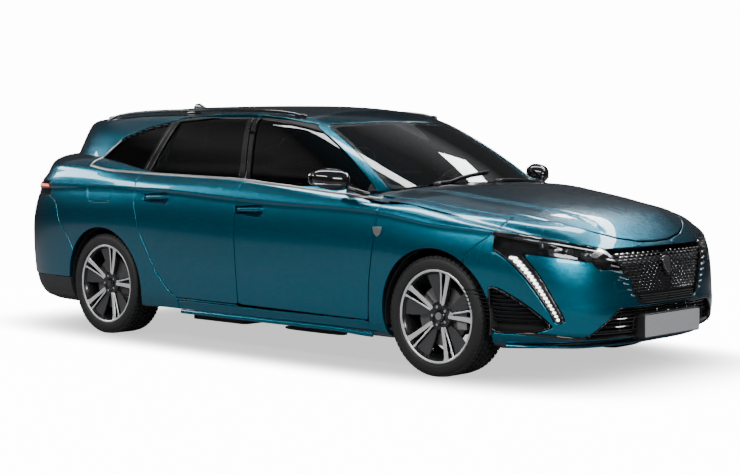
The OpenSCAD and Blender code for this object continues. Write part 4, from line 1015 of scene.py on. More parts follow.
def build_doors():
    """Door skins with inner faces, window frames, handle cups and handles, belt trims and glass."""
    for s, end in ((-1, "right"), (1, "left")):
        for which, cut in (("front", DOOR_F), ("rear", DOOR_R)):
            body = f"{which}_door_{end}"
            recess, cx, cz = handle_cut(which)
            conditions = [cut, out(recess)] + ([out(ARCH_REAR)] if which == "rear" else [])
            panel(f"door_skin_{which}_{end}", body, "paint", ["flank"], conditions, s, "body_paint",
                  [f"{which}_door_{end}"], wall=door_wall)
            cut = DOOR_TOP if which == "front" else cut
            hole = lambda p: np.maximum.reduce([WINDOW(p), -POST_B(p), -POST_C(p), -SAIL_CUT(p)])
            panel(f"door_frame_{which}_{end}", body, "seal", ["cabin"], [cut, out(hole)], s, "gloss_black",
                  wall=door_wall, roll=2.5, gap=3.5)
            panel(f"door_glass_{which}_{end}", body, "tinted_glass", ["cabin"], [WINDOW, cut, out(POST_B), out(POST_C),
                  out(SAIL_CUT)], s, "tinted_glass", [f"{which}_glass_{end}"], gap=-4, roll=0, depth=GLASS_SET,
                  wall=lambda p, n: p - n * GLASS_BACK)
            gloss = lambda p: np.maximum(np.minimum(POST_B(p), POST_C(p)) - 2, WINDOW(p) - 6)
            panel(f"door_pillar_{which}_{end}", body, "gloss_black", ["cabin"], [cut, gloss], s, "gloss_black",
                  depth=-2.2, roll=2, rim=5)
            # cup behind the handle, and the handle bar that spans it
            v, t, f = BASES["flank"]
            v, t = trim(v, t, lambda p: recess(p) - 2)
            for d in range(2, 26, 3):
                v, t, _ = slice_at(v, t, recess(v) + d)
            n = unit(gradient(f, v))
            v = v - n * (34 * np.sqrt(np.clip(-recess(v) / 26, 0, 1)))[:, None]
            place(mesh_object(f"handle_cup_{which}_{end}", *sided(v, t, smooth_normals(v, t), s)), body, "paint",
                  "body_paint")
            length = HANDLES[which][2]
            u = np.linspace(-1, 1, 34)
            bar = np.stack([cx + 8 + u * (length * .5 - 4), 0 * u, cz + 6 + 4 * u], 1)
            y = width_at(bar[:, 0], bar[:, 2])
            bar[:, 1] = y - 5 - 14 * np.clip(np.abs(u) - .80, 0, 1) / .2 * (u < 0) - 3 * np.clip(u - .9, 0, 1) / .1
            solid(f"handle_bar_{which}_{end}", body, "paint",
                  [tube(bar, 12.5 * (1 - .45 * np.abs(u) ** 5), 20, .62, up=(0, 1, 0))], s, slot="body_paint")
            # belt trim along the foot of the glass
            x = np.linspace(1004, -50, 70) if which == "front" else np.linspace(-58, -940, 60)
            z = curve(BAND[:7][::-1], x) - 6
            yy = np.array([np.interp(0, *edge_at(a, b)) for a, b in zip(x, z)])
            path = np.stack([x, yy + 1.5, z], 1)
            solid(f"belt_trim_{which}_{end}", body, "trim_grey", [tube(path, 8.5, 12, .45, up=(0, 1, .5))], s,
                  slot="gloss_black")


def edge_at(x, z):
    """The wider of flank and cabin at a station, found on a short scan."""
    y = np.linspace(700, 930, 120)
    p = np.stack([np.full_like(y, x), y, np.full_like(y, z)], 1)
    d = np.minimum(lower_body(p), upper_body(p))
    return d, y


def build_sides():
    """Rear quarters with roof edges and pillars, sills, the structure behind the doors, quarter glass and fuel flap."""
    shared = [out(DOOR_F), out(DOOR_R), out(GATE_CUT)]
    dlo = lambda p: np.maximum(WINDOW(p) - 16, p[:, 0] + 780)
    low = [QUARTER_SIDE, out(DOOR_R), out(GATE_CUT), out(REAR_BUMPER), out(LAMP_REAR), out(ARCH_REAR), out(FLAP_CUT),
           out(SILL_SIDE)]
    panel("quarter_panels", "root", "paint", ["flank", "shelf"], low, 0, "body_paint", ["body_sides"], gap=2.2, rim=26)
    # the left side has no flap, so its place is filled
    panel("flap_blank", "root", "paint", ["flank"], [FLAP_CUT], 1, "body_paint", gap=-2.6, roll=0, rim=8)
    upper = [out(DOOR_TOP), out(DOOR_R), out(GATE_CUT), out(dlo), out(SCREEN_HOLE), out(COWL_CUT)]
    panel("pillar_sides", "root", "paint", ["cabin"], upper, 0, "body_paint", gap=2.5, rim=22)
    panel("roof_edges", "root", "paint", ["roof"], shared + [out(SCREEN_HOLE), out(along(1, 560))], 0, "body_paint",
          gap=1.2, roll=2, rim=18)
    ring = lambda p: np.maximum(dlo(p) + 1, -WINDOW(p))
    panel("quarter_frames", "root", "seal", ["cabin"], [ring, out(DOOR_R)], 0, "gloss_black", gap=1.5, roll=2,
          rim=14)
    panel("quarter_glass", "root", "tinted_glass", ["cabin"], [WINDOW, out(POST_C), along(0, -780)], 0,
          "tinted_glass", ["quarter_windows"], gap=-4, roll=0, depth=GLASS_SET, wall=lambda p, n: p - n * GLASS_BACK)
    post = lambda p: np.maximum(POST_C(p) - 3, WINDOW(p) - 5)
    panel("quarter_posts", "root", "gloss_black", ["cabin"], [post, out(DOOR_R), along(0, -780)], 0, "gloss_black",
          depth=-2, gap=2, roll=2, rim=5)
    x = np.concatenate([np.linspace(-948, -1440, 40), [-1449, -1449, -1440, -1420], np.linspace(-1400, -1300, 8)])
    z = np.concatenate([curve(BAND[:8][::-1], np.linspace(-948, -1440, 40)) - 6,
                        [1066, 1090, 1112, 1130], 1145 + np.linspace(0, 78, 8)])
    yy = np.array([np.interp(0, *edge_at(a, b)) for a, b in zip(x, z)])
    solid("quarter_trims", "root", "trim_grey", [tube(np.stack([x, yy + 1.5, z], 1), 8.5, 12, .45, up=(0, 1, .5))], 0,
          slot="gloss_black")
    panel("fuel_flap_skin", "fuel_flap", "paint", ["flank"], [FLAP_CUT], -1, "body_paint", ["fuel_flap"], gap=1.6,
          roll=2, wall=lambda p, n: p - n * 6)
    panel("sills", "root", "paint", ["flank"], [SILL_SIDE, out(ARCH_FRONT), out(ARCH_REAR)], 0, "body_paint", gap=1.5,
          rim=60)
    # apertures behind the doors
    far = lambda p, n: np.stack([p[:, 0], p[:, 1] - door_depth(p) - 10, p[:, 2]], 1)
    hull = side([[1040, 200], [1110, 880], [1060, 985], [880, 1105], [640, 1222], [440, 1300], [100, 1362],
                 [-93, 1385], [-496, 1390], [-820, 1380], [-1010, 1020], [-1010, 830], [-960, 660], [-840, 480],
                 [-700, 330], [-640, 200]], 20)
    for name, base in (("door_apertures_low", "flank"), ("door_apertures_high", "cabin")):
        conditions = [hull, lambda p: -(DOOR_F(p) + 45), lambda p: -(DOOR_R(p) + 45), lambda p: 56 - SCREEN_HOLE(p)]
        v, t, f = BASES[base]
        for c in conditions:
            v, t = trim(v, t, c)
        n = unit(gradient(f, v))
        q, deeper = far(v, n), far(v, n) - np.array([0, 26, 0])
        parts = join([(q, t, n), (deeper, t[:, ::-1], -n)])
        place(mesh_object(name, *sided(*parts, 0)), "root", "paint" if base == "flank" else "satin_black", "body_paint")


def build_roof():
    """Roof skin with its inner face, rails on feet, and the fin aerial."""
    panel("roof_skin", "root", "paint", ["roof", "cabin"], [along(1, 560), out(SCREEN_HOLE), out(GATE_CUT),
          lambda p: np.maximum(1200 - p[:, 2], p[:, 0] - 470)], 0, "body_paint", ["roof"], gap=1.2, roll=2,
          wall=lambda p, n: p - n * 24)
    x = np.array([-1600, -1580, -1540, -1490, -1400, -1200, -950, -700, -450, -200, 0, 120, 175, 205, 224], float)
    lift = np.array([2, 8, 18, 25, 29, 31, 32, 32, 32, 31, 29, 25, 18, 9, 1], float)
    f = np.linspace(0, len(x) - 1, 120)
    xs = np.interp(f, range(len(x)), x)
    ls = np.interp(f, range(len(x)), lift)
    ls = np.convolve(np.pad(ls, 3, mode="edge"), np.ones(7) / 7, "valid")
    y = np.full_like(xs, float(RAIL_Y))
    z = rounded_roof(xs, y) + ls - 8
    rail = tube(np.stack([xs, y, z], 1), 13, 16, .75, up=(0, 0, 1))

    def web(a, b):
        m = (a + b) / 2
        top = float(rounded_roof(np.array([m]), np.array([float(RAIL_Y)]))[0])
        return superblob([m, RAIL_Y, top + 4], [(b - a) / 2, 9, 16], 5, 3, 24, 12)
    solid("roof_rails", "root", "gloss_black", [rail, web(-1600, -1490), web(120, 222), web(-820, -700)], 0,
          slot="gloss_black", replaces=["roof_trim"])
    # fin: a swept half section that narrows and rises towards its tip
    u = np.linspace(0, 1, 28)
    base_x, top_x = -1427 + 162 * u, -1427 + 12 + 100 * u
    h = 38 * np.minimum(1, (1 - u) * 1.9) ** .8 * np.minimum(1, (u + .05) * 6) ** .5
    w = 13 * np.sin(np.pi * np.clip(u * .9 + .06, 0, 1)) ** .6
    k = np.linspace(0, math.pi, 15)
    zb = roof(base_x, 0 * base_x)
    g = np.stack([(base_x[:, None] * (1 - np.sin(k)) + np.minimum(base_x, top_x)[:, None] * np.sin(k)),
                  w[:, None] * np.cos(k)[None], zb[:, None] - 3 + (h[:, None] + 3) * np.sin(k)[None] ** .8], 2)
    v, t = grid_mesh(g)
    bottom = grid_mesh(np.stack([g[:, 0], g[:, -1]], 1))
    caps = [grid_mesh(np.stack([g[i, :8], g[i, :6:-1]], 0)) for i in (0, -1)]
    v, t = clean(*merged([(v, t[:, ::-1]), bottom] + caps))
    place(mesh_object("fin_aerial", v, t, sharp=40), "root", "gloss_black", "gloss_black")


def rounded_roof(x, y):
    """Height where the rounded upper body meets a vertical line."""
    z = roof(x, y)
    for _ in range(12):
        z = z - upper_body(np.stack([x, y, z], 1))
    return z


def build_front():
    """Fenders with the nose band, bonnet with its inner skin, the pillar feet and the front bumper."""
    wing = [either(FENDER_SIDE, NOSE_CUT), out(BONNET_ZONE), out(COWL_CUT), out(DOOR_F), out(ARCH_FRONT),
            out(LAMP_CUT), out(SCREEN_HOLE), lambda p: 915 - p[:, 0]]
    panel("fenders", "root", "paint", ["flank", "deck"], wing, 0, "body_paint", ["front_fenders"], gap=2.4, rim=20)
    panel("bonnet_skin", "bonnet", "paint", ["deck", "flank"], [BONNET_ZONE], 0, "body_paint", ["bonnet"], gap=3,
          wall=lambda p, n: p - np.array([0, 0, 22]))
    foot = side([[880, 930], [1118, 900], [1118, 1006], [1000, 1012], [880, 1078]], 4)
    panel("pillar_feet", "root", "paint", ["flank", "cabin", "deck"], [foot, out(BONNET_ZONE),
          out(SCREEN_HOLE)], 0, "body_paint", gap=0, roll=0, depth=11, rim=0)
    low = [FRONT_BUMPER, out(NOSE_CUT), out(BONNET_ZONE), out(LAMP_CUT), out(GRILLE_CUT), out(INTAKE_CUT),
           out(SIDE_CUT), out(ARCH_FRONT), out(FENDER_SIDE)]
    panel("front_bumper_skin", "root", "paint", ["flank", "deck"], low, 0, "body_paint", ["front_bumper"], gap=1.6,
          rim=24)


def build_tail():
    """Tailgate with its frame and glass, rear bumper with its diffuser, rear lamps."""
    gate_lamp = lambda p: np.maximum(front([[-720, 868], [-720, 957], [720, 957], [720, 868]], 10)(p), p[:, 0] + 1500)
    gate_glass = lambda p: np.maximum(front([[-505, 1330], [505, 1330], [562, 1056], [-562, 1056]], 26)(p),
                                      p[:, 0] + 1500)
    wall = lambda p, n: p + np.stack([46 + 0 * p[:, 0], -.03 * p[:, 1], -10 + 0 * p[:, 0]], 1)
    panel("tailgate_skin", "tailgate", "paint", ["flank", "shelf"], [GATE_CUT, out(gate_lamp)], 0, "body_paint",
          ["tailgate"], gap=3, wall=wall)
    panel("tailgate_frame", "tailgate", "paint", ["cabin", "roof"], [GATE_CUT, out(gate_glass)], 0, "body_paint",
          gap=3, wall=wall)
    panel("tailgate_window", "tailgate", "tinted_glass", ["cabin", "roof"], [gate_glass], 0, "tinted_glass",
          ["tailgate_glass"], gap=-3, roll=0, depth=5, wall=lambda p, n: p - n * 9.5)
    panel("rear_bumper_skin", "root", "paint", ["flank"], [REAR_BUMPER, out(GATE_CUT), out(LAMP_REAR), out(ARCH_REAR),
          lambda p: 300 + 40 * step((np.abs(p[:, 1]) - 500) / 300) - p[:, 2]], 0, "body_paint", ["rear_bumper"],
          gap=1.6, rim=24)
    lamp_side = lambda p: np.maximum(LAMP_REAR(p), -GATE_CUT(p))
    for name, body, cut in (("tail_lamp", "root", lamp_side), ("gate_lamp", "tailgate",
                            lambda p: np.maximum(gate_lamp(p), GATE_CUT(p) + 3))):
        old = ["tail_lamps"] if body == "root" else ["tailgate_lamps"]
        panel(name + "_lens", body, "gloss_black", ["flank"], [cut], 0, "red_lamp", old, gap=2, roll=3, depth=1,
              rim=30)
        strip = lambda p, cut=cut: np.maximum(cut(p) + 10, np.abs(p[:, 2] - 930) - 9)
        panel(name + "_strip", body, "light_red", ["flank"], [strip], 0, "red_lamp", gap=0, roll=2, depth=-1.2, rim=6)
    diffuser = [side(BUMPER_R, 3), out(ARCH_REAR), lambda p: p[:, 2] - 297 - 40 * step((np.abs(p[:, 1]) - 500) / 300)]
    panel("diffuser", "root", "grained_black", ["flank"], diffuser, 0, "gloss_black", gap=1, depth=6, rim=30)
    fins = []
    for y in (60, 180, 300):
        o = [[-2296, 300], [-2286, 215], [-2180, 172], [-2130, 176], [-2150, 300]]
        fins.append(extrude(o, y - 5, y + 5, lambda q: q[:, [0, 2, 1]], 1.5))
    solid("diffuser_fins", "root", "grained_black", [(v, t[:, ::-1]) for v, t in fins], 0, slot="gloss_black")


def build_glass():
    """Windscreen with its black edge and sensor housing, wipers and cowl grille."""
    panel("windscreen_glass", "root", "clear_glass", ["cabin"], [SCREEN_HOLE, lambda p: 905 - p[:, 2]], 0,
          "clear_glass", ["windscreen"], gap=2, roll=1, depth=2, wall=lambda p, n: p - n * 7)
    frit = [SCREEN_HOLE, lambda p: -(SCREEN_HOLE(p) + 34), lambda p: 905 - p[:, 2]]
    panel("windscreen_band", "root", "satin_black", ["cabin"], frit, 0, "gloss_black", gap=2, roll=0, depth=8.5, rim=2)
    eye = lambda p: np.maximum(np.abs(p[:, 1]) - 62 - .25 * (p[:, 2] - 1260), 1228 - p[:, 2])
    panel("sensor_housing", "root", "satin_black", ["cabin"], [SCREEN_HOLE, eye], 0, "gloss_black", gap=1, roll=0,
          depth=9, rim=24)
    panel("cowl_cover", "root", "grained_black", ["deck", "flank"], [COWL_CUT], 0, "cowl_plastic", ["cowl"], gap=1,
          roll=2, depth=9, rim=16)
    parts = []
    for x0, y0, x1, y1 in ((1068, -420, 985, 150), (1074, 120, 1010, 640)):
        u = np.linspace(0, 1, 40)
        x, y = x0 + (x1 - x0) * u, y0 + (y1 - y0) * u
        z = screen_height(x, y)
        parts.append(tube(np.stack([x, y, z + 9], 1), 5.5 - 2 * u, 10, 1.3))
        parts.append(tube(np.stack([x - 4, y, z + 3], 1), 3.2, 8, 1.4))
        parts.append(superblob([x0 + 8, y0, float(z[0]) + 4], [22, 20, 12], 2.5, 2.5, 20, 10))
    solid("wipers", "root", "satin_black", parts, 1, slot="gloss_black")


def screen_height(x, y):
    """Height of whichever skin is on top at a point in plan."""
    z = np.full_like(x, 1200.0)
    for _ in range(60):
        p = np.stack([x, y, z], 1)
        d = np.minimum(lower_body(p), upper_body(p))
        z = z - np.clip(d, -12, 12) * .8
    return z


# ---- wheels and tyres ----
def wheel_frame(x, side_sign):
    """Maps wheel coordinates (radius plane x z, outward y) onto an axle end."""
    return lambda q: q * np.array([1, side_sign, 1]) + np.array([x, side_sign * TRACK, TYRE_R])


def on_wheel(name, body, material, parts, x, s, sharp=35, **kw):
    """A piece in wheel coordinates, placed at an axle end; the right side is the mirror image of the left."""
    v, t = merged(parts)
    v, t = clean(v, t)
    if s == -1:
        t = t[:, ::-1]
    v = wheel_frame(x, s)(v)
    return place(mesh_object(name, v, t, sharp=sharp), body, material, **kw)


def outward_lathe(profile, count=96):
    """A turned piece whose faces point outwards."""
    return facing_out(*clean(*lathe(profile, count)))


def tread_block(a0, a1, y0, y1, r0=306.0, r1=318.2, skew=0.0):
    """One tread block: a curved slab between two angles and two widths, chamfered at its top."""
    a, y = np.array([a0, a0 + .004, a1 - .004, a1]), np.array([y0, y0 + 1.2, y1 - 1.2, y1])
    crown = lambda yy: -5.5 * np.clip((np.abs(yy) - 62) / 45, 0, 1) ** 2
    g = np.empty((4, 4, 3))
    for i in range(4):
        for j in range(4):
            edge = i in (0, 3) or j in (0, 3)
            r = (r1 - (1.6 if edge else 0)) + crown(y[j])
            aa = a[i] + skew * (y[j] - y[0])
            g[i, j] = (r * math.cos(aa), y[j], r * math.sin(aa))
    v, t = grid_mesh(g)
    rim = [0, 1, 2, 3, 7, 11, 15, 14, 13, 12, 8, 4]
    low = v[rim].copy()
    k = r0 / np.hypot(low[:, 0], low[:, 2])
    low[:, 0] *= k
    low[:, 2] *= k
    n = len(v)
    i = np.arange(12)
    j = (i + 1) % 12
    rim = np.array(rim)
    walls = np.concatenate([np.stack([rim[i], n + i, rim[j]], 1), np.stack([rim[j], n + i, n + j], 1)])
    return np.concatenate([v, low]), np.concatenate([t[:, ::-1], walls[:, ::-1]])


def build_tyres():
    """Tyres: carcass with relief bands on the sidewall and rows of tread blocks."""
    profile = [(236, 70), (238, 84), (244, 98), (250, 104), (253, 106.5), (256, 105.5), (266, 108.5), (270, 107.6),
               (284, 109.6), (287, 108.8), (296, 107.5), (304, 103), (309, 96), (311, 88), (311.5, 0)]
    profile = profile + [(r, -y) for r, y in profile[-2::-1]] + [(242, -60), (242, 60)]
    rows = [(-100, -66, .0012), (-58, -24, -.0016), (-15, 15, 0.0), (24, 58, .0016), (66, 100, -.0012)]
    blocks = []
    for y0, y1, skew in rows:
        shift = .5 if y0 in (-58, 24) else 0
        for k in range(TREAD_BLOCKS):
            pitch = 2 * math.pi / TREAD_BLOCKS
            a = (k + shift) * pitch
            blocks.append(tread_block(a, a + pitch * .80, y0, y1, skew=skew))
    for where, x in (("front", AXLE_F), ("rear", AXLE_R)):
        for end, s in (("left", 1), ("right", -1)):
            name = f"tyre_{where}_{end}"
            v, t = outward_lathe(profile, 128)
            bv, bt = merged(blocks)
            c = np.cross(bv[bt[:, 1]] - bv[bt[:, 0]], bv[bt[:, 2]] - bv[bt[:, 0]])
            if ((bv[bt].mean(1) * np.array([1, 0, 1])) * c).sum() < 0:
                bt = bt[:, ::-1]
            body = NODES[name]["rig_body"]
            on_wheel(f"tyre_tread_{where}_{end}", body, "rubber", [(v, t), (bv, bt)], x, s, slot="tyre_rubber",
                     replaces=[name])


def spoke_prism(stations, thick=26.0, bevel=1.5):
    """A spoke from stations (radius, angle of one edge, angle of the other, height): top face, side walls and back."""
    g = []
    for r, a, b, y in stations:
        a, b = math.radians(a), math.radians(b)
        m = min(bevel / r, abs(b - a) * .3)
        row = [(r, a, y - thick), (r, a, y - bevel), (r, a + m, y), (r, (a + b) / 2, y + .6), (r, b - m, y),
               (r, b, y - bevel), (r, b, y - thick)]
        g.append([(q * math.cos(c), h, q * math.sin(c)) for q, c, h in row])
    g = np.array(g)
    v, t = grid_mesh(g, closed=True)
    caps = []
    for end, flip in ((0, False), (-1, True)):
        ring = g[end]
        c = ring.mean(0)
        cv = np.concatenate([ring, [c]])
        i = np.arange(7)
        ct = np.stack([i, (i + 1) % 7, np.full(7, 7)], 1)
        caps.append((cv, ct if flip else ct[:, ::-1]))
    return facing_out(*clean(*merged([(v, t)] + caps)))


def spun(part, count=SPOKE_PAIRS):
    """Copies of a part round the wheel's axis."""
    v, t = part
    parts = []
    for k in range(count):
        a = math.radians(360 * k / count)
        m = np.array([[math.cos(a), 0, math.sin(a)], [0, 1, 0], [-math.sin(a), 0, math.cos(a)]])
        parts.append((v @ m, t))
    return parts


def build_wheels():
    """Five pairs of bright spokes with dark wedges between them, rim barrel, lip ring, hub, cap and bolts."""
    barrel = [(246, 88), (246, 97), (241, 98), (236, 94), (231, 82), (226, 40), (224, -60), (236, -84), (238, -98),
              (232, -98), (222, -84), (214, -60), (214, 40), (222, 80), (228, 90), (240, 90)]
    lip = [(246.5, 96), (247, 99), (243, 101), (237, 100), (233.5, 97), (236, 95), (242, 96.5)]
    hub = [(3, 44), (60, 44), (72, 50), (76, 60), (72, 66), (58, 68), (40, 66), (34, 62), (3, 62)]
    cap = [(.5, 60), (31, 60), (32, 66), (29, 70), (20, 71.5), (.5, 72)]
    wide = [(58, -9, 9, 67), (80, -8, 7, 69), (120, -6.2, 4.2, 73), (170, -5, 3, 80), (215, -4.8, 2.6, 88),
            (234, -5.4, 2.8, 94)]
    slim = [(62, 9, 18, 66), (90, 9, 15.2, 69), (130, 9.4, 13.4, 74), (180, 10, 12.8, 82), (215, 10, 12.8, 88),
            (234, 9.6, 13.4, 94)]
    behind = lambda spoke: [(r, a - .3, b + .3, y - 2.6) for r, a, b, y in spoke]
    wedge = [(60, 18, 34, 52), (90, 16.4, 36, 56), (140, 15, 38, 64), (190, 14.5, 38, 72), (234, 14, 37, 80)]
    for where, x in (("front", AXLE_F), ("rear", AXLE_R)):
        for end, s in (("left", 1), ("right", -1)):
            body = NODES[f"wheel_{where}_{end}"]["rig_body"]
            tag = f"{where}_{end}"
            on_wheel(f"rim_{tag}", body, "wheel_black", [outward_lathe(barrel, 128)], x, s, slot="alloy_wheel",
                     replaces=[f"wheel_{tag}"])
            on_wheel(f"rim_lip_{tag}", body, "spoke_cut", [outward_lathe(lip, 128)], x, s, slot="alloy_wheel")
            on_wheel(f"spokes_{tag}", body, "spoke_cut", spun(spoke_prism(wide, thick=3.2)) +
                     spun(spoke_prism(slim, thick=3.2)), x, s, slot="alloy_wheel")
            on_wheel(f"spoke_backs_{tag}", body, "wheel_black", spun(spoke_prism(behind(wide), thick=24)) +
                     spun(spoke_prism(behind(slim), thick=20)), x, s, slot="alloy_wheel")
            on_wheel(f"wedges_{tag}", body, "wheel_grey", spun(spoke_prism(wedge, thick=9)), x, s, slot="alloy_wheel")
            bolts = []
            for k in range(5):
                a = math.radians(36 + 72 * k)
                hexa = [[8.5 * math.cos(b), 8.5 * math.sin(b)] for b in np.linspace(0, 2 * math.pi, 7)[:-1]]
                c, q = 48 * math.cos(a), 48 * math.sin(a)
                bolts.append(extrude(hexa, 58, 72, lambda p, c=c, q=q: np.stack([p[:, 1] + c, p[:, 2], p[:, 0] + q], 1),
                                     1.2))
            on_wheel(f"hub_{tag}", body, "wheel_black", [outward_lathe(hub, 72)], x, s, slot="alloy_wheel")
            on_wheel(f"cap_{tag}", body, "gloss_black", [outward_lathe(cap, 64)], x, s, slot="alloy_wheel")
            on_wheel(f"bolts_{tag}", body, "bright_metal", bolts, x, s, slot="alloy_wheel")


# ---- mirrors ----
def build_mirrors():
    """Door mirrors: a gloss housing, a bright lower edge, the glass and a foot on the door."""
    n, m = 56, 30
    a, b = np.linspace(0, 2 * math.pi, n, endpoint=False), np.linspace(-math.pi / 2, math.pi / 2, m)
    f = lambda x, p: np.sign(x) * np.abs(x) ** (2 / p)
    px = f(np.cos(b), 2.8)[:, None] * f(np.cos(a), 2.4)[None]
    py = f(np.cos(b), 2.8)[:, None] * f(np.sin(a), 2.8)[None]
    pz = np.repeat(f(np.sin(b), 2.6)[:, None], n, 1)
    x = 742 + px * np.where(px > 0, 92, 46) * (1 - .20 * py)
    y = 940 + py * 88
    z = 1020 + pz * (58 - 9 * py) + 6 * py - 10 * np.clip(px, 0, 1)
    g = np.stack([x - 26 * py, y, z], 2)
    g[0], g[-1] = g[0].mean(0), g[-1].mean(0)
    v, t = grid_mesh(g, closed=True)
    foot = tube([[905, 800, 940], [890, 830, 948], [850, 858, 962], [806, 880, 978], [780, 900, 990]],
                [22, 21, 20, 21, 22], 20, .62)
    k = np.linspace(0, 2 * math.pi, 60, endpoint=False)
    edge = np.stack([742 + 88 * np.cos(k) * np.where(np.cos(k) > 0, 1, .5) - 26 * np.sin(k),
                     942 + 90 * np.sin(k), 990 + 6 * np.sin(k)], 1)
    half = (np.cos(k) > -.35)
    path = np.roll(edge, -int(np.argmin(half)), axis=0)
    path = path[np.roll(half, -int(np.argmin(half)))]
    glass_face = superblob([694, 946, 1022], [3, 78, 40], 3.2, 3.2, 44, 20,
                           lambda p: p - np.stack([.28 * (p[:, 1] - 946), 0 * p[:, 0], 0 * p[:, 0]], 1))
    for end, s in (("left", 1), ("right", -1)):
        body = f"front_door_{end}"
        solid(f"mirror_shell_{end}", body, "gloss_black", [(v, t), foot], s, slot="gloss_black", sharp=50,
              replaces=[f"mirror_{end}"])
        solid(f"mirror_edge_{end}", body, "bright_metal", [tube(path, 2.6, 8, 1.0)], s, slot="gloss_black")
        solid(f"mirror_glass_{end}", body, "mirror_face", [glass_face], s, slot="gloss_black")


# ---- nose ----
def nose_point(y, z, lift=0.0):
    """Points on the lower body's front at given y and z, moved out by lift along its normal."""
    y, z = np.broadcast_arrays(np.asarray(y, float), np.asarray(z, float))
    p = np.stack([np.full(y.size, 2150.0), y.ravel(), z.ravel()], 1)
    for _ in range(40):
        d = flank(*p.T)
        p[:, 0] -= np.clip(d, -20, 20) * 1.0
    n = unit(gradient(lower_body, p))
    return p + n * lift, n


def bar_on_nose(y0, z0, y1, z1, r, flat=.5, lift=0.0, n=12, sides=8):
    """A small bar that follows the nose between two front points."""
    u = np.linspace(0, 1, n)
    p, nn = nose_point(y0 + (y1 - y0) * u, z0 + (z1 - z0) * u, lift)
    k = np.where((u < .02) | (u > .98), .55, 1)
    return tube(p, r * k, sides, flat, up=tuple(nn.mean(0)))


def sheet_on_nose(outline, lift, material, name, depth=14, slot="gloss_black", replaces=(), roll=1.5, s=0):
    cut = front(outline, 6, 1500)
    return panel(name, "root", material, ["flank", "deck"], [cut], s, slot, replaces, gap=0, roll=roll, depth=-lift,
                 rim=depth)


def build_grille():
    """Near-black sheet behind the grille as painted shade of its openings, rows of short bright dashes, slatted bar,
    frame and the shield badge.
    """
    # near-black sheet behind the grille: painted shade of its openings
    panel("grille_back", "root", "painted_shade_void", ["flank"], [GRILLE_CUT], 0, "gloss_black", ["grilles"], gap=-5, roll=0,
          depth=26, rim=4)
    rim = [GRILLE_CUT, lambda p: -(GRILLE_CUT(p) + 9)]
    panel("grille_frame", "root", "gloss_black", ["flank"], rim, 0, "gloss_black", gap=.6, roll=2.5, depth=-2, rim=34)
    dashes, dark = [], []
    for k in range(GRILLE_ROWS):
        z = 662 - 15.4 * k
        edge = 437 - 160 * (680 - z) / 268 - 16
        for j in range(9):
            c = (j + (.5 if k % 2 else 1)) * edge / 9.5
            if c < 34 or c > edge - 10:
                continue
            length = (7 + 34 * (c / 430) ** 1.2) * .5
            y0, y1 = max(c - length, 30), min(c + length, edge)
            dashes.append(bar_on_nose(y0, z, y1, z, 3.3, .9, -11, 6, 6))
        dark.append(bar_on_nose(1, z - 7.6, edge + 6, z - 7.6, 2.2, 1.6, -17, 26, 6))
    solid("grille_dashes", "root", "bright_metal", dashes, 0, slot="gloss_black")
    solid("grille_ribs", "root", "satin_black", dark, 0, slot="gloss_black")
    slats = [bar_on_nose(1, z, 262 - (440 - z) * .7, z, 3.4, 1.2, -6, 24, 8) for z in (440, 428, 416, 405)]
    solid("grille_foot_slats", "root", "gloss_black", slats, 0, slot="gloss_black")
    shield = [[0, 640], [38, 636], [44, 620], [40, 580], [24, 548], [0, 530]]
    sheet_on_nose(shield[::-1] + [[-y, z] for y, z in shield[1:-1]], 6, "gloss_black", "nose_shield", 26, roll=3)
    inner = [[.8 * y, 586 + .8 * (z - 586)] for y, z in shield]
    sheet_on_nose(inner[::-1] + [[-y, z] for y, z in inner[1:-1]], 8, "bright_metal", "nose_shield_face", 6, roll=2)
    # slats that step down beside the grille
    steps = []
    for k in range(7):
        z = 622 - 30 * k
        inner_y = 437 - 160 * (680 - z) / 268 + 12
        length = 60 - 5.5 * k
        steps.append(bar_on_nose(inner_y, z, inner_y + length, z + 12 - k, 4.4, .8, 1.2, 8, 8))
    solid("side_slats", "root", "bright_metal", steps, 0, slot="gloss_black")
    wedge = [[446, 668], [520, 640], [560, 652], [470, 690]]
    sheet_on_nose(wedge, 2.5, "bright_metal", "lamp_wedge", 10)


def build_lamps():
    """Head lamps: dark bowl, three modules, clear cover, and the bright blade that runs down and inward."""
    panel("lamp_bowl", "root", "lamp_dark", ["flank", "deck"], [LAMP_CUT], 0, "lamp_lens", ["headlamps"], gap=-3,
          roll=0, depth=34, rim=4)
    panel("lamp_rim", "root", "gloss_black", ["flank", "deck"], [LAMP_CUT, lambda p: -(LAMP_CUT(p) + 7)], 0,
          "gloss_black", gap=.8, roll=2, depth=-.5, rim=38)
    upper = lambda p: np.maximum(LAMP_CUT(p), 560 - p[:, 2])
    panel("lamp_cover", "root", "lamp_glass", ["flank", "deck"], [upper], 0, "lamp_lens", gap=1.5, roll=1, depth=.5,
          wall=lambda p, n: p - n * 3)
    modules, fronts = [], []
    for y, z in ((560, 660), (650, 680), (740, 705)):
        p, n = nose_point([y], [z], -20)
        c, d = p[0], n[0]
        modules.append(superblob(c - 8 * d, [14, 32, 20], 4, 4, 28, 14))
        fronts.append(superblob(c + 4 * d, [6, 24, 13], 3.5, 3.5, 28, 14))
    solid("lamp_modules", "root", "satin_black", modules, 0, slot="lamp_lens")
    solid("lamp_lenses", "root", "mirror_face", fronts, 0, slot="lamp_lens")
    brow = [bar_on_nose(470, 668, 800, 742, 3.2, .8, -7, 26, 8)]
    solid("lamp_brow", "root", "bright_metal", brow, 0, slot="lamp_lens")
    cells = []
    for k in range(18):
        u = (k + .5) / 18
        y, z = 838 - 126 * u, 655 - 326 * u
        half = 9 - 4 * u
        cells.append(bar_on_nose(y - half, z - 3, y + half, z + 3, 8.2 - 2.2 * u, .5, -2, 6, 6))
    solid("running_light_cells", "root", "light_white", cells, 0, slot="lamp_lens")


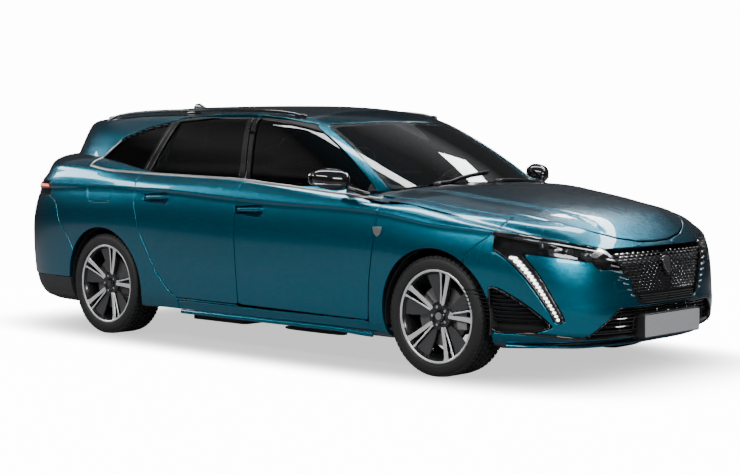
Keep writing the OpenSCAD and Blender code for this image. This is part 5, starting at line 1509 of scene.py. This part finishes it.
def build_intakes():
    """Lower intake with slats and dividers, plate on its bracket, side intakes with slats, tow cover, blades."""
    # near-black sheet behind the lower intake: painted shade of its opening
    panel("intake_back", "root", "painted_shade_void", ["flank"], [INTAKE_CUT], 0, "gloss_black", gap=-5, roll=0, depth=46,
          rim=4)
    panel("intake_frame", "root", "gloss_black", ["flank"], [INTAKE_CUT, lambda p: -(INTAKE_CUT(p) + 7)], 0,
          "gloss_black", gap=.6, roll=2, depth=-1, rim=50)
    slats = []
    for z in (368, 348, 328, 308, 288, 268, 248):
        e = 418 + (386 - z) / 158 * 194 - 14
        slats.append(bar_on_nose(1, z, e, z, 4.2, 2.2, -22, 34, 8))
    for y in (100, 200, 300, 400):
        top = 374 if y < 410 else 350
        slats.append(bar_on_nose(y, 238, y - 6, top, 3.4, 2.4, -26, 10, 8))
    solid("intake_slats", "root", "gloss_black", slats, 0, slot="gloss_black")
    # near-black sheets behind the side intakes: painted shade of their openings
    panel("side_intake_back", "root", "painted_shade_void", ["flank"], [SIDE_CUT], 0, "gloss_black", gap=-4, roll=0, depth=40,
          rim=4)
    panel("side_intake_frame", "root", "gloss_black", ["flank"], [SIDE_CUT, lambda p: -(SIDE_CUT(p) + 8)], 0,
          "gloss_black", gap=.6, roll=2, depth=-1, rim=44)
    side_slats = []
    for k in range(8):
        z = 470 - 20 * k
        y0 = 760 + (470 - z) * -.12 + (18 if z > 440 else 0)
        y0, y1 = max(y0, 742 + (z - 300) * .55), 905 - (470 - z) * .12
        side_slats.append(bar_on_nose(y0, z, y1, z + 4, 4, 2.0, -14, 8, 8))
    solid("side_intake_slats", "root", "gloss_black", side_slats, 0, slot="gloss_black")
    blade = [bar_on_nose(600, 236, 800, 268, 9, .8, 2, 20, 12)]
    solid("intake_blades", "root", "gloss_black", blade, 0, slot="gloss_black")
    # plate: a flat panel on a black bracket
    x = float(nose_point([0.], [283.])[0][0, 0]) + 16
    flatx = lambda q: np.stack([q[:, 2] + x, q[:, 0], q[:, 1]], 1)
    o = softened([[-260, 227], [260, 227], [260, 339], [-260, 339]], 9)
    solid("plate_blank", "root", "plate", [extrude(o, 2, 5, flatx, 1)], 1, slot="gloss_black")
    o = softened([[-268, 220], [268, 220], [268, 346], [-268, 346]], 12)
    solid("plate_bracket", "root", "satin_black", [extrude(o, -58, 2, flatx, 3)], 1, slot="gloss_black")
    # lip blade along the foot of the bumper
    u = np.linspace(0, 1, 60)
    y = 800 * u
    p = nose_point(y, 205.0, 3)[0]
    p[:, 2] = 188 + 10 * np.clip((y - 560) / 240, 0, 1)
    solid("front_lip", "root", "paint", [tube(p, 15, 16, .55, up=(0, 0, 1))], 0, slot="body_paint")
    panel("under_lip", "root", "grained_black", ["flank"], [FRONT_BUMPER, out(ARCH_FRONT), lambda p: p[:, 2] - 214,
          out(FENDER_SIDE), lambda p: 1700 - p[:, 0]], 0, "gloss_black", gap=1, depth=10, rim=20)
    eye = softened([[-447 + 8, 470], [-318, 470], [-318, 530], [-447, 530]], 20)
    panel("tow_cover", "root", "paint", ["flank"], [front((eye * [-1, 1]).tolist(), 1, 1500)], -1,
          "body_paint", gap=.5, roll=3, depth=-1.5, rim=8)
    # side skirts
    x = np.linspace(1010, -560, 90)
    y = width_at(x, np.full_like(x, 205.)) + 6
    z = np.full_like(x, 196.) - 10 * step((x - 700) / 300)
    solid("skirt_blades", "root", "paint", [tube(np.stack([x, y, z], 1), 13, 14, .5, up=(0, 1, .25))], 0,
          slot="body_paint")
    # fender shield badges
    yy = float(width_at(np.array([1080.]), np.array([745.]))[0])
    o = softened([[1040, 772], [1048, 736], [1072, 718], [1096, 736], [1104, 772]], 6)
    solid("fender_badges", "root", "trim_grey", [extrude(o, yy - 4, yy + 4, lambda q: q[:, [0, 2, 1]], 1.5)], 0,
          slot="gloss_black")


# ---- cabin ----
def shell_of(base, conditions, inner, outer):
    """A thin shell cut from a base surface, between two moved copies of it."""
    v, t, f = BASES[base]
    for c in conditions:
        v, t = trim(v, t, c)
    n = unit(gradient(f, v))
    return join([(outer(v, n), t, n), (inner(v, n), t[:, ::-1], -n)])


def build_door_trims():
    """Inner trims of the doors with arm rests, pulls and pockets, and the headlining."""
    for s, end in ((-1, "right"), (1, "left")):
        for which, cut, x in (("front", DOOR_F, 420), ("rear", DOOR_R, -420)):
            low = [lambda p, c=cut: c(p) + 40, lambda p: p[:, 2] - 946] + ([out(ARCH_REAR)] if which == "rear" else [])
            far = lambda d: lambda p, n: door_wall(p, n) - np.array([0, d, 0])
            half = shell_of("flank", low, far(5), far(1))
            place(mesh_object(f"door_trim_{which}_{end}", *sided(*half, s)), f"{which}_door_{end}", "grained_black",
                  "trim_plastic")
            rest = superblob([x - 20, 772, 700], [230 if which == "front" else 190, 36, 34], 4, 2.6, 40, 16)
            pull = tube([[x + 110, 778, 760], [x + 130, 752, 780], [x + 190, 748, 800], [x + 215, 776, 812]], 9, 12)
            pocket = superblob([x - 30, 778, 420], [210 if which == "front" else 160, 22, 60], 4, 3, 36, 14)
            solid(f"arm_rest_{which}_{end}", f"{which}_door_{end}", "seat_side", [rest, pocket], s, slot="trim_plastic")
            solid(f"door_pull_{which}_{end}", f"{which}_door_{end}", "bright_metal", [pull], s, slot="trim_plastic")
    half = shell_of("roof", [along(1, 545), out(SCREEN_HOLE), out(GATE_CUT), lambda p: p[:, 0] - 420],
                    lambda p, n: p - np.array([0, 0, 31]), lambda p, n: p - np.array([0, 0, 27]))
    place(mesh_object("headlining", *sided(*half, 0)), "root", "headlining_cloth", "seat_cloth")


def crowned(centre, half, bolster, px=5.0, pz=2.4, waist=0.0):
    """A cushion: a superellipsoid crowned on top, with raised sides, narrowed forwards by waist."""
    def shape(p):
        q = p - np.asarray(centre, float)
        u, w = q[:, 1] / half[1], q[:, 0] / half[0]
        z = q[:, 2] + bolster * (q[:, 2] > 0) * (step((np.abs(u) - .55) / .4) - .25 * (1 - u * u))
        return np.stack([q[:, 0], q[:, 1] * (1 - waist * (w + 1) / 2), z], 1) + np.asarray(centre, float)
    v, t = superblob(centre, half, px, pz, 72, 30, shape)
    return v, t


def build_seats():
    """Front seats and rear bench: crowned cushions with side bolsters, head restraints on posts, frames and rails."""
    def soft(name, material, part, old=()):
        o = solid(name, "root", material, [part], 1, sharp=60, slot="seat_cloth", replaces=old)
        return o
    for s, end in ((-1, "right"), (1, "left")):
        y = 370 * s
        soft(f"seat_cushion_{end}", "seat_cloth", crowned([275, y, 420], [262, 248, 66], 34), ["front_seats"])
        back = crowned([-300, y, 0], [290, 240, 58], 36, waist=.12)
        v, t = back
        # made lying along -x, then stood up so that its face looks forward
        q = np.stack([v[:, 2], v[:, 1], -(v[:, 0] + 300)], 1)
        lean = math.radians(17)
        q = np.stack([q[:, 0] * math.cos(lean) - q[:, 2] * math.sin(lean), q[:, 1],
                      q[:, 0] * math.sin(lean) + q[:, 2] * math.cos(lean)], 1) + np.array([-72, 0, 738])
        soft(f"seat_back_{end}", "seat_cloth", facing_out(q, t))
        soft(f"head_rest_{end}", "seat_side", superblob([-232, y, 1100], [44, 124, 82], 3.4, 2.8, 48, 24,
             lambda p: p - np.stack([.2 * (p[:, 2] - 1100), 0 * p[:, 0], 0 * p[:, 0]], 1)))
        posts = [tube([[-178, y + k, 985], [-222, y + k, 1060]], 7, 12) for k in (-55, 55)]
        solid(f"head_rest_posts_{end}", "root", "bright_metal", posts, 1, slot="trim_plastic")
        o = softened([[90, -185], [430, -185], [430, 185], [90, 185]], 30)
        foot = extrude(o, 110, 352, lambda q, y=y: q + np.array([0, y, 0]), 10)
        runners = [superblob([250, y + k, 116], [250, 16, 12], 6, 4, 24, 10) for k in (-170, 170)]
        solid(f"seat_frame_{end}", "root", "grained_black", [foot] + runners, 1, slot="trim_plastic")
    old = ["rear_seat"]
    for k, (y, w) in enumerate(((-412, 206), (0, 202), (412, 206))):
        soft(f"bench_cushion_{k + 1}", "seat_cloth", crowned([-535, y, 408], [262, w, 74], 16), old)
        v, t = crowned([0, y, 0], [275, w, 56], 16)
        q = np.stack([v[:, 2], v[:, 1], -v[:, 0]], 1)
        lean = math.radians(21)
        q = np.stack([q[:, 0] * math.cos(lean) - q[:, 2] * math.sin(lean), q[:, 1],
                      q[:, 0] * math.sin(lean) + q[:, 2] * math.cos(lean)], 1) + np.array([-868, 0, 722])
        soft(f"bench_back_{k + 1}", "seat_cloth", facing_out(q, t))
        rest = superblob([-1000, y * .97, 1046], [38, 108, 60], 3.4, 2.8, 44, 20)
        soft(f"bench_head_rest_{k + 1}", "seat_side", rest)
        old = []
    o = softened([[-790, -590], [-300, -590], [-300, 590], [-790, 590]], 40)
    solid("bench_frame", "root", "grained_black", [extrude(o, 110, 345, lambda q: q, 12)], 1, slot="trim_plastic")


def build_dashboard():
    """Dashboard with hood, screen, vents and console; column; and the steering wheel."""
    o = softened([[1040, 565], [1040, 890], [870, 934], [690, 930], [612, 905], [572, 858], [592, 760], [640, 700],
                  [760, 565]], 40, 8)
    top = facing_out(*extrude(o, -636, 636, lambda q: q[:, [0, 2, 1]], 14))
    hood = superblob([640, 370, 930], [90, 190, 34], 3.5, 2.6, 48, 18)
    o = softened([[30, -106], [600, -106], [600, 106], [30, 106]], 40)
    console = extrude(o, 112, 410, lambda q: q, 16)
    tray = superblob([300, 0, 412], [200, 80, 16], 5, 3, 40, 12)
    column = tube([[700, 370, 806], [560, 370, 872]], 42, 24)
    solid("dashboard_body", "root", "grained_black", [top, hood, console, column], 1, slot="trim_plastic",
          replaces=["dashboard"])
    solid("console_tray", "root", "gloss_black", [tray], 1, slot="trim_plastic")
    o = softened([[-150, -58], [150, -58], [150, 58], [-150, 58]], 10)
    lean = lambda y0, x0, z0: lambda q: np.stack([x0 - q[:, 2] + .25 * q[:, 1], y0 + q[:, 0], z0 + q[:, 1]], 1)
    screens = [extrude(o, 0, 14, lean(0, 600, 880), 3), extrude(o * .8, 0, 10, lean(370, 612, 905), 3)]
    solid("displays", "root", "gloss_black", [facing_out(*x) for x in screens], 1, slot="trim_plastic")
    vents = [superblob([586, y, 800], [14, 62, 20], 4, 4, 32, 12) for y in (-560, -110, 110, 560)]
    solid("air_vents", "root", "satin_black", vents, 1, slot="trim_plastic")
    strip = tube([[590, y, 838] for y in np.linspace(-620, 620, 24)], 5, 10, .6)
    solid("dashboard_strip", "root", "trim_grey", [strip], 1, slot="trim_plastic")
    lever = superblob([270, 0, 446], [22, 17, 34], 2.6, 2.4, 28, 18)
    solid("gear_selector", "root", "gloss_black", [lever], 1, slot="trim_plastic")
    a = math.radians(25)
    axis, up = np.array([-math.cos(a), 0, math.sin(a)]), np.array([math.sin(a), 0, math.cos(a)])
    centre = np.array([500, 370, 900.0])
    to = lambda q: centre + q[:, 2:3] * axis + q[:, 0:1] * up + q[:, 1:2] * np.array([0, 1, 0])
    k = np.linspace(0, 2 * math.pi, 97)[:, None]
    grip = 14 + 1.4 * bump(np.cos(2 * (k - .6)), 1, .4)
    w = np.linspace(0, 2 * math.pi, 20, endpoint=False)
    r = 160 + grip * np.cos(w)
    g = np.stack([r * np.cos(k), r * np.sin(k), grip * np.sin(w)], 2)
    v, t = grid_mesh(g, closed=True)
    spokes = []
    for b in (math.pi, math.pi / 2, math.pi * 1.5):
        u = np.linspace(40, 152, 10)
        path = np.stack([u * math.cos(b), u * math.sin(b), -16 + 14 * (u / 152) ** 2], 1)
        spokes.append(tube(path, np.linspace(17, 12, 10), 14, .45, up=(0, 0, 1)))
    pad = superblob([0, 0, -14], [56, 70, 20], 3, 2.4, 48, 20)
    column = tube([[0, 0, -60], [0, 0, -30]], 38, 28)
    parts = [facing_out(to(x), y) for x, y in [(v, t)] + spokes + [pad, column]]
    body = NODES["steering_wheel"]["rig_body"]
    solid("hand_wheel", body, "grained_black", parts, 1, sharp=50, slot="trim_plastic", replaces=["steering_wheel"])
    badge = superblob([0, 0, 5], [15, 17, 4], 2.4, 2.4, 28, 12)
    solid("hand_wheel_badge", body, "bright_metal", [(to(badge[0]), badge[1])], 1, slot="trim_plastic")


KEPT = {"floor_pan": "chassis_black", "wheel_liners": "grained_black", "rear_axle": "chassis_black",
        "front_subframe": "chassis_black", "exhaust": "exhaust_steel", "knuckle_left": "cast_metal",
        "knuckle_right": "cast_metal", "engine_block": "cast_metal"}


def finish_frame():
    """Gives the parts of the frame that stay in view their procedural materials, and adds the brake discs."""
    for name, o in NODES.items():
        if o.hide_render:
            continue
        o.data.materials.clear()
        o.data.materials.append(MATERIALS[KEPT[name]])
    disc = [(64, 13), (160, 13), (161, 15), (161, 33), (160, 35), (82, 35), (78, 44), (64, 44)]
    for where, x in (("front", AXLE_F), ("rear", AXLE_R)):
        for end, s in (("left", 1), ("right", -1)):
            on_wheel(f"brake_disc_{where}_{end}", NODES[f"wheel_{where}_{end}"]["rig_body"], "brake_iron",
                     [outward_lathe(disc, 128)], x, s, slot="alloy_wheel")


def build_stage(studio):
    """Pale floor with a painted soft shadow round the car, soft studio lights and the camera."""
    m = bpy.data.materials.new("studio_floor")
    m.use_nodes = True
    t = Nodes(m.node_tree)
    c = t.add("ShaderNodeTexCoord")
    n = t.add("ShaderNodeTexNoise", {}, Vector=c.outputs["Object"], Scale=.6, Detail=2.0)
    k = t.add("ShaderNodeMix", {"data_type": "RGBA"}, Factor=n.outputs[0], A=(.24, .24, .25, 1), B=(.28, .28, .29, 1))
    p = m.node_tree.nodes["Principled BSDF"]
    m.node_tree.links.new(k.outputs[2], p.inputs["Base Color"])
    p.inputs["Roughness"].default_value = .9
    p.inputs["Specular IOR Level"].default_value = .1
    # only the camera sees the floor's own glow; what the paint mirrors stays darker. The glow is dimmed round the car's
    # footprint as a painted soft shadow under the car
    lp = t.add("ShaderNodeLightPath")
    q = t.add("ShaderNodeSeparateXYZ", {}, Vector=c.outputs["Object"])
    qx = t.add("ShaderNodeMath", {"operation": "MULTIPLY"}, i0=q.outputs[0], i1=1 / 2.45)
    qy = t.add("ShaderNodeMath", {"operation": "MULTIPLY"}, i0=q.outputs[1], i1=1 / 1.12)
    px = t.add("ShaderNodeMath", {"operation": "POWER"}, i0=qx.outputs[0], i1=4.0)
    py = t.add("ShaderNodeMath", {"operation": "POWER"}, i0=qy.outputs[0], i1=4.0)
    foot = t.add("ShaderNodeMath", {"operation": "ADD"}, i0=px.outputs[0], i1=py.outputs[0])
    soft = t.add("ShaderNodeMapRange", {"interpolation_type": "SMOOTHERSTEP"}, Value=foot.outputs[0], From_Min=.2,
                 From_Max=2.1, To_Min=.9, To_Max=14.0)
    # floor glow, low under and near the car: painted soft shadow
    glow_with_painted_shadow = t.add("ShaderNodeMath", {"operation": "MULTIPLY"}, i0=lp.outputs["Is Camera Ray"], i1=soft.outputs[0])
    m.node_tree.links.new(glow_with_painted_shadow.outputs[0], p.inputs["Emission Strength"])
    p.inputs["Emission Color"].default_value = (1, 1, 1, 1)
    v = np.array([[-60, -60, 0], [60, -60, 0], [60, 60, 0], [-60, 60, 0]], float) * 1000
    floor = mesh_object("floor", v, np.array([[0, 1, 2, 3]]))
    floor.data.materials.append(m)
    floor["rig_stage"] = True
    w = bpy.data.worlds.new("studio")
    bpy.context.scene.world = w
    w.use_nodes = True
    t = Nodes(w.node_tree)
    w.node_tree.nodes.clear()
    lp = t.add("ShaderNodeLightPath")
    c = t.add("ShaderNodeTexCoord")
    s = t.add("ShaderNodeSeparateXYZ", {}, Vector=c.outputs["Generated"])
    r = t.add("ShaderNodeValToRGB", {}, Fac=s.outputs[2])
    e = r.color_ramp.elements
    e[0].position, e[0].color = .0, (.03, .035, .04, 1)
    e[1].position, e[1].color = 1.0, (.08, .13, .16, 1)
    for at, g in ((.12, .05), (.46, .05), (.54, .30), (.7, .09)):
        q = e.new(at)
        q.color = (g, g, g * 1.02, 1)
    b1 = t.add("ShaderNodeBackground", {}, Color=r.outputs[0], Strength=1.0)
    b2 = t.add("ShaderNodeBackground", {}, Color=(1, 1, 1, 1), Strength=14.0)
    mx = t.add("ShaderNodeMixShader", {}, i0=lp.outputs["Is Camera Ray"], i1=b1.outputs[0], i2=b2.outputs[0])
    t.add("ShaderNodeOutputWorld", {}, Surface=mx.outputs[0])

    def area(name, where, aim, size, power, colour=(1, 1, 1)):
        d = bpy.data.lights.new(name, "AREA")
        d.shape, d.size, d.size_y, d.energy, d.color = "RECTANGLE", size[0], size[1], power * studio.light, colour
        o = bpy.data.objects.new(name, d)
        bpy.context.scene.collection.objects.link(o)
        o.location = where
        o.rotation_euler = (Vector(aim) - Vector(where)).to_track_quat("-Z", "Y").to_euler()
        return o
    area("ceiling", (-1, 1.2, 6.0), (0, 0, 0), (9, .7), 330)
    area("ceiling_far", (2, 4.5, 5.0), (.8, 0, .8), (7, .6), 260)
    area("key_side", (1.0, -7.5, 5.2), (0, 0, .9), (9, 1.1), 560)
    area("front_soft", (9, -3, 3.2), (1.5, 0, .7), (3.5, 1.2), 260)
    area("rear_soft", (-8, -4, 3.5), (-1.5, 0, .8), (4, 1), 160)
    cam = bpy.data.cameras.new("camera")
    o = bpy.data.objects.new("camera", cam)
    bpy.context.scene.collection.objects.link(o)
    cam.lens, cam.sensor_width = studio.lens, 36
    o.location = (6.849, -7.250, 1.271)
    o.rotation_euler = (math.radians(90 - 3.71), 0, math.radians(42.59))
    bpy.context.scene.camera = o


# ---- add-on: settings, operators and panel ----
BASES = {}


def prepare(context):
    """Works out the base surfaces and the materials once, from the settings."""
    if not BASES:
        BASES.update(make_bases(context.scene.wagon_shape.fineness))
    if not MATERIALS:
        make_materials(context.scene.wagon_look)


def run(build, context):
    """Builds one group of pieces; a failure goes on as an error."""
    prepare(context)
    build()
    return {"FINISHED"}


class WagonShape(bpy.types.PropertyGroup):
    """How finely the body is worked out"""
    fineness: bpy.props.FloatProperty(name="Fineness", description="Density of the body surfaces' rows and columns",
                                      default=1.0, min=.5, max=2.0, subtype="FACTOR")


class WagonLook(bpy.types.PropertyGroup):
    """Colours of the paint"""
    paint_deep: bpy.props.FloatVectorProperty(name="Deep tone", description="Paint seen at a shallow angle",
                                              default=(0.0, .03, .065), min=0, max=1, subtype="COLOR")
    paint_bright: bpy.props.FloatVectorProperty(name="Bright tone", description="Paint seen face on",
                                                default=(0.0, .21, .32), min=0, max=1, subtype="COLOR")
    flakes: bpy.props.FloatProperty(name="Flake density", description="Metal flakes per metre", default=900.0,
                                    min=100, max=4000)


class WagonStudio(bpy.types.PropertyGroup):
    """Lights and camera"""
    light: bpy.props.FloatProperty(name="Light", description="Power of the lights against the standard", default=1.0,
                                   min=.1, max=5, subtype="FACTOR")
    lens: bpy.props.FloatProperty(name="Lens", description="Focal length of the camera in millimetres", default=78.6,
                                  min=20, max=200)


class WAGON_OT_doors(bpy.types.Operator):
    """Door skins, window frames, glass, handles and belt trims"""
    bl_idname, bl_label = "wagon.doors", "Doors"

    def execute(self, context):
        return run(build_doors, context)


class WAGON_OT_sides(bpy.types.Operator):
    """Rear quarters, pillars, sills, quarter glass and fuel flap"""
    bl_idname, bl_label = "wagon.sides", "Body sides"

    def execute(self, context):
        return run(build_sides, context)


class WAGON_OT_roof(bpy.types.Operator):
    """Roof skin, rails and fin aerial"""
    bl_idname, bl_label = "wagon.roof", "Roof"

    def execute(self, context):
        return run(build_roof, context)


class WAGON_OT_nose(bpy.types.Operator):
    """Fenders, bonnet and front bumper"""
    bl_idname, bl_label = "wagon.nose", "Nose"

    def execute(self, context):
        return run(build_front, context)


class WAGON_OT_tail(bpy.types.Operator):
    """Tailgate, rear bumper and rear lamps"""
    bl_idname, bl_label = "wagon.tail", "Tail"

    def execute(self, context):
        return run(build_tail, context)


class WAGON_OT_screen(bpy.types.Operator):
    """Windscreen, wipers and cowl"""
    bl_idname, bl_label = "wagon.screen", "Windscreen"

    def execute(self, context):
        return run(build_glass, context)


class WAGON_OT_tyres(bpy.types.Operator):
    """Tyres with tread and sidewall bands"""
    bl_idname, bl_label = "wagon.tyres", "Tyres"

    def execute(self, context):
        return run(build_tyres, context)


class WAGON_OT_wheels(bpy.types.Operator):
    """Rims, spokes, hubs, caps and bolts"""
    bl_idname, bl_label = "wagon.wheels", "Wheels"

    def execute(self, context):
        return run(build_wheels, context)


class WAGON_OT_mirrors(bpy.types.Operator):
    """Door mirrors"""
    bl_idname, bl_label = "wagon.mirrors", "Mirrors"

    def execute(self, context):
        return run(build_mirrors, context)


class WAGON_OT_grille(bpy.types.Operator):
    """Grille, shield and the slats beside it"""
    bl_idname, bl_label = "wagon.grille", "Grille"

    def execute(self, context):
        return run(build_grille, context)


class WAGON_OT_lamps(bpy.types.Operator):
    """Head lamps and running lights"""
    bl_idname, bl_label = "wagon.lamps", "Head lamps"

    def execute(self, context):
        return run(build_lamps, context)


class WAGON_OT_intakes(bpy.types.Operator):
    """Lower and side intakes, plate, lip and blades"""
    bl_idname, bl_label = "wagon.intakes", "Intakes"

    def execute(self, context):
        return run(build_intakes, context)


class WAGON_OT_door_trims(bpy.types.Operator):
    """Inner door trims and headlining"""
    bl_idname, bl_label = "wagon.door_trims", "Door trims"

    def execute(self, context):
        return run(build_door_trims, context)


class WAGON_OT_seats(bpy.types.Operator):
    """Front seats and rear bench"""
    bl_idname, bl_label = "wagon.seats", "Seats"

    def execute(self, context):
        return run(build_seats, context)


class WAGON_OT_dashboard(bpy.types.Operator):
    """Dashboard, console and steering wheel"""
    bl_idname, bl_label = "wagon.dashboard", "Dashboard"

    def execute(self, context):
        return run(build_dashboard, context)


class WAGON_OT_frame_finish(bpy.types.Operator):
    """Materials of the frame parts in view, and brake discs"""
    bl_idname, bl_label = "wagon.frame_finish", "Frame finish"

    def execute(self, context):
        return run(finish_frame, context)


class WAGON_OT_studio(bpy.types.Operator):
    """Floor, world, lights and camera"""
    bl_idname, bl_label = "wagon.studio", "Studio"

    def execute(self, context):
        build_stage(context.scene.wagon_studio)
        return {"FINISHED"}


OPERATORS = (WAGON_OT_doors, WAGON_OT_sides, WAGON_OT_roof, WAGON_OT_nose, WAGON_OT_tail, WAGON_OT_screen,
             WAGON_OT_tyres, WAGON_OT_wheels, WAGON_OT_mirrors, WAGON_OT_grille, WAGON_OT_lamps, WAGON_OT_intakes,
             WAGON_OT_door_trims, WAGON_OT_seats, WAGON_OT_dashboard, WAGON_OT_frame_finish, WAGON_OT_studio)


class WAGON_PT_main(bpy.types.Panel):
    """Settings and builders of the station wagon's finish"""
    bl_idname, bl_label = "WAGON_PT_main", "Station wagon"
    bl_space_type, bl_region_type, bl_category = "VIEW_3D", "UI", "Wagon"

    def draw(self, context):
        scene = context.scene
        for group in (scene.wagon_shape, scene.wagon_look, scene.wagon_studio):
            for name in group.__annotations__:
                self.layout.prop(group, name)
        for operator in OPERATORS:
            self.layout.operator(operator.bl_idname)


GROUP_TYPES = {"wagon_shape": WagonShape, "wagon_look": WagonLook, "wagon_studio": WagonStudio}


def register():
    for c in (*GROUP_TYPES.values(), *OPERATORS, WAGON_PT_main):
        bpy.utils.register_class(c)
    for name, kind in GROUP_TYPES.items():
        setattr(bpy.types.Scene, name, bpy.props.PointerProperty(type=kind))


def unregister():
    for name in GROUP_TYPES:
        delattr(bpy.types.Scene, name)
    for c in (WAGON_PT_main, *OPERATORS[::-1], *list(GROUP_TYPES.values())[::-1]):
        bpy.utils.unregister_class(c)


def main():
    """Registers the add-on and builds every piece."""
    register()
    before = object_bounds()
    for operator in OPERATORS:
        group, name = operator.bl_idname.split(".")
        getattr(getattr(bpy.ops, group), name)()
    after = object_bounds()
    listed = lambda b: [[round(float(x), 5) for x in corner] for corner in b]
    {"cad": listed(before), "visual": listed(after)}


if __name__ == "__main__":
    main()
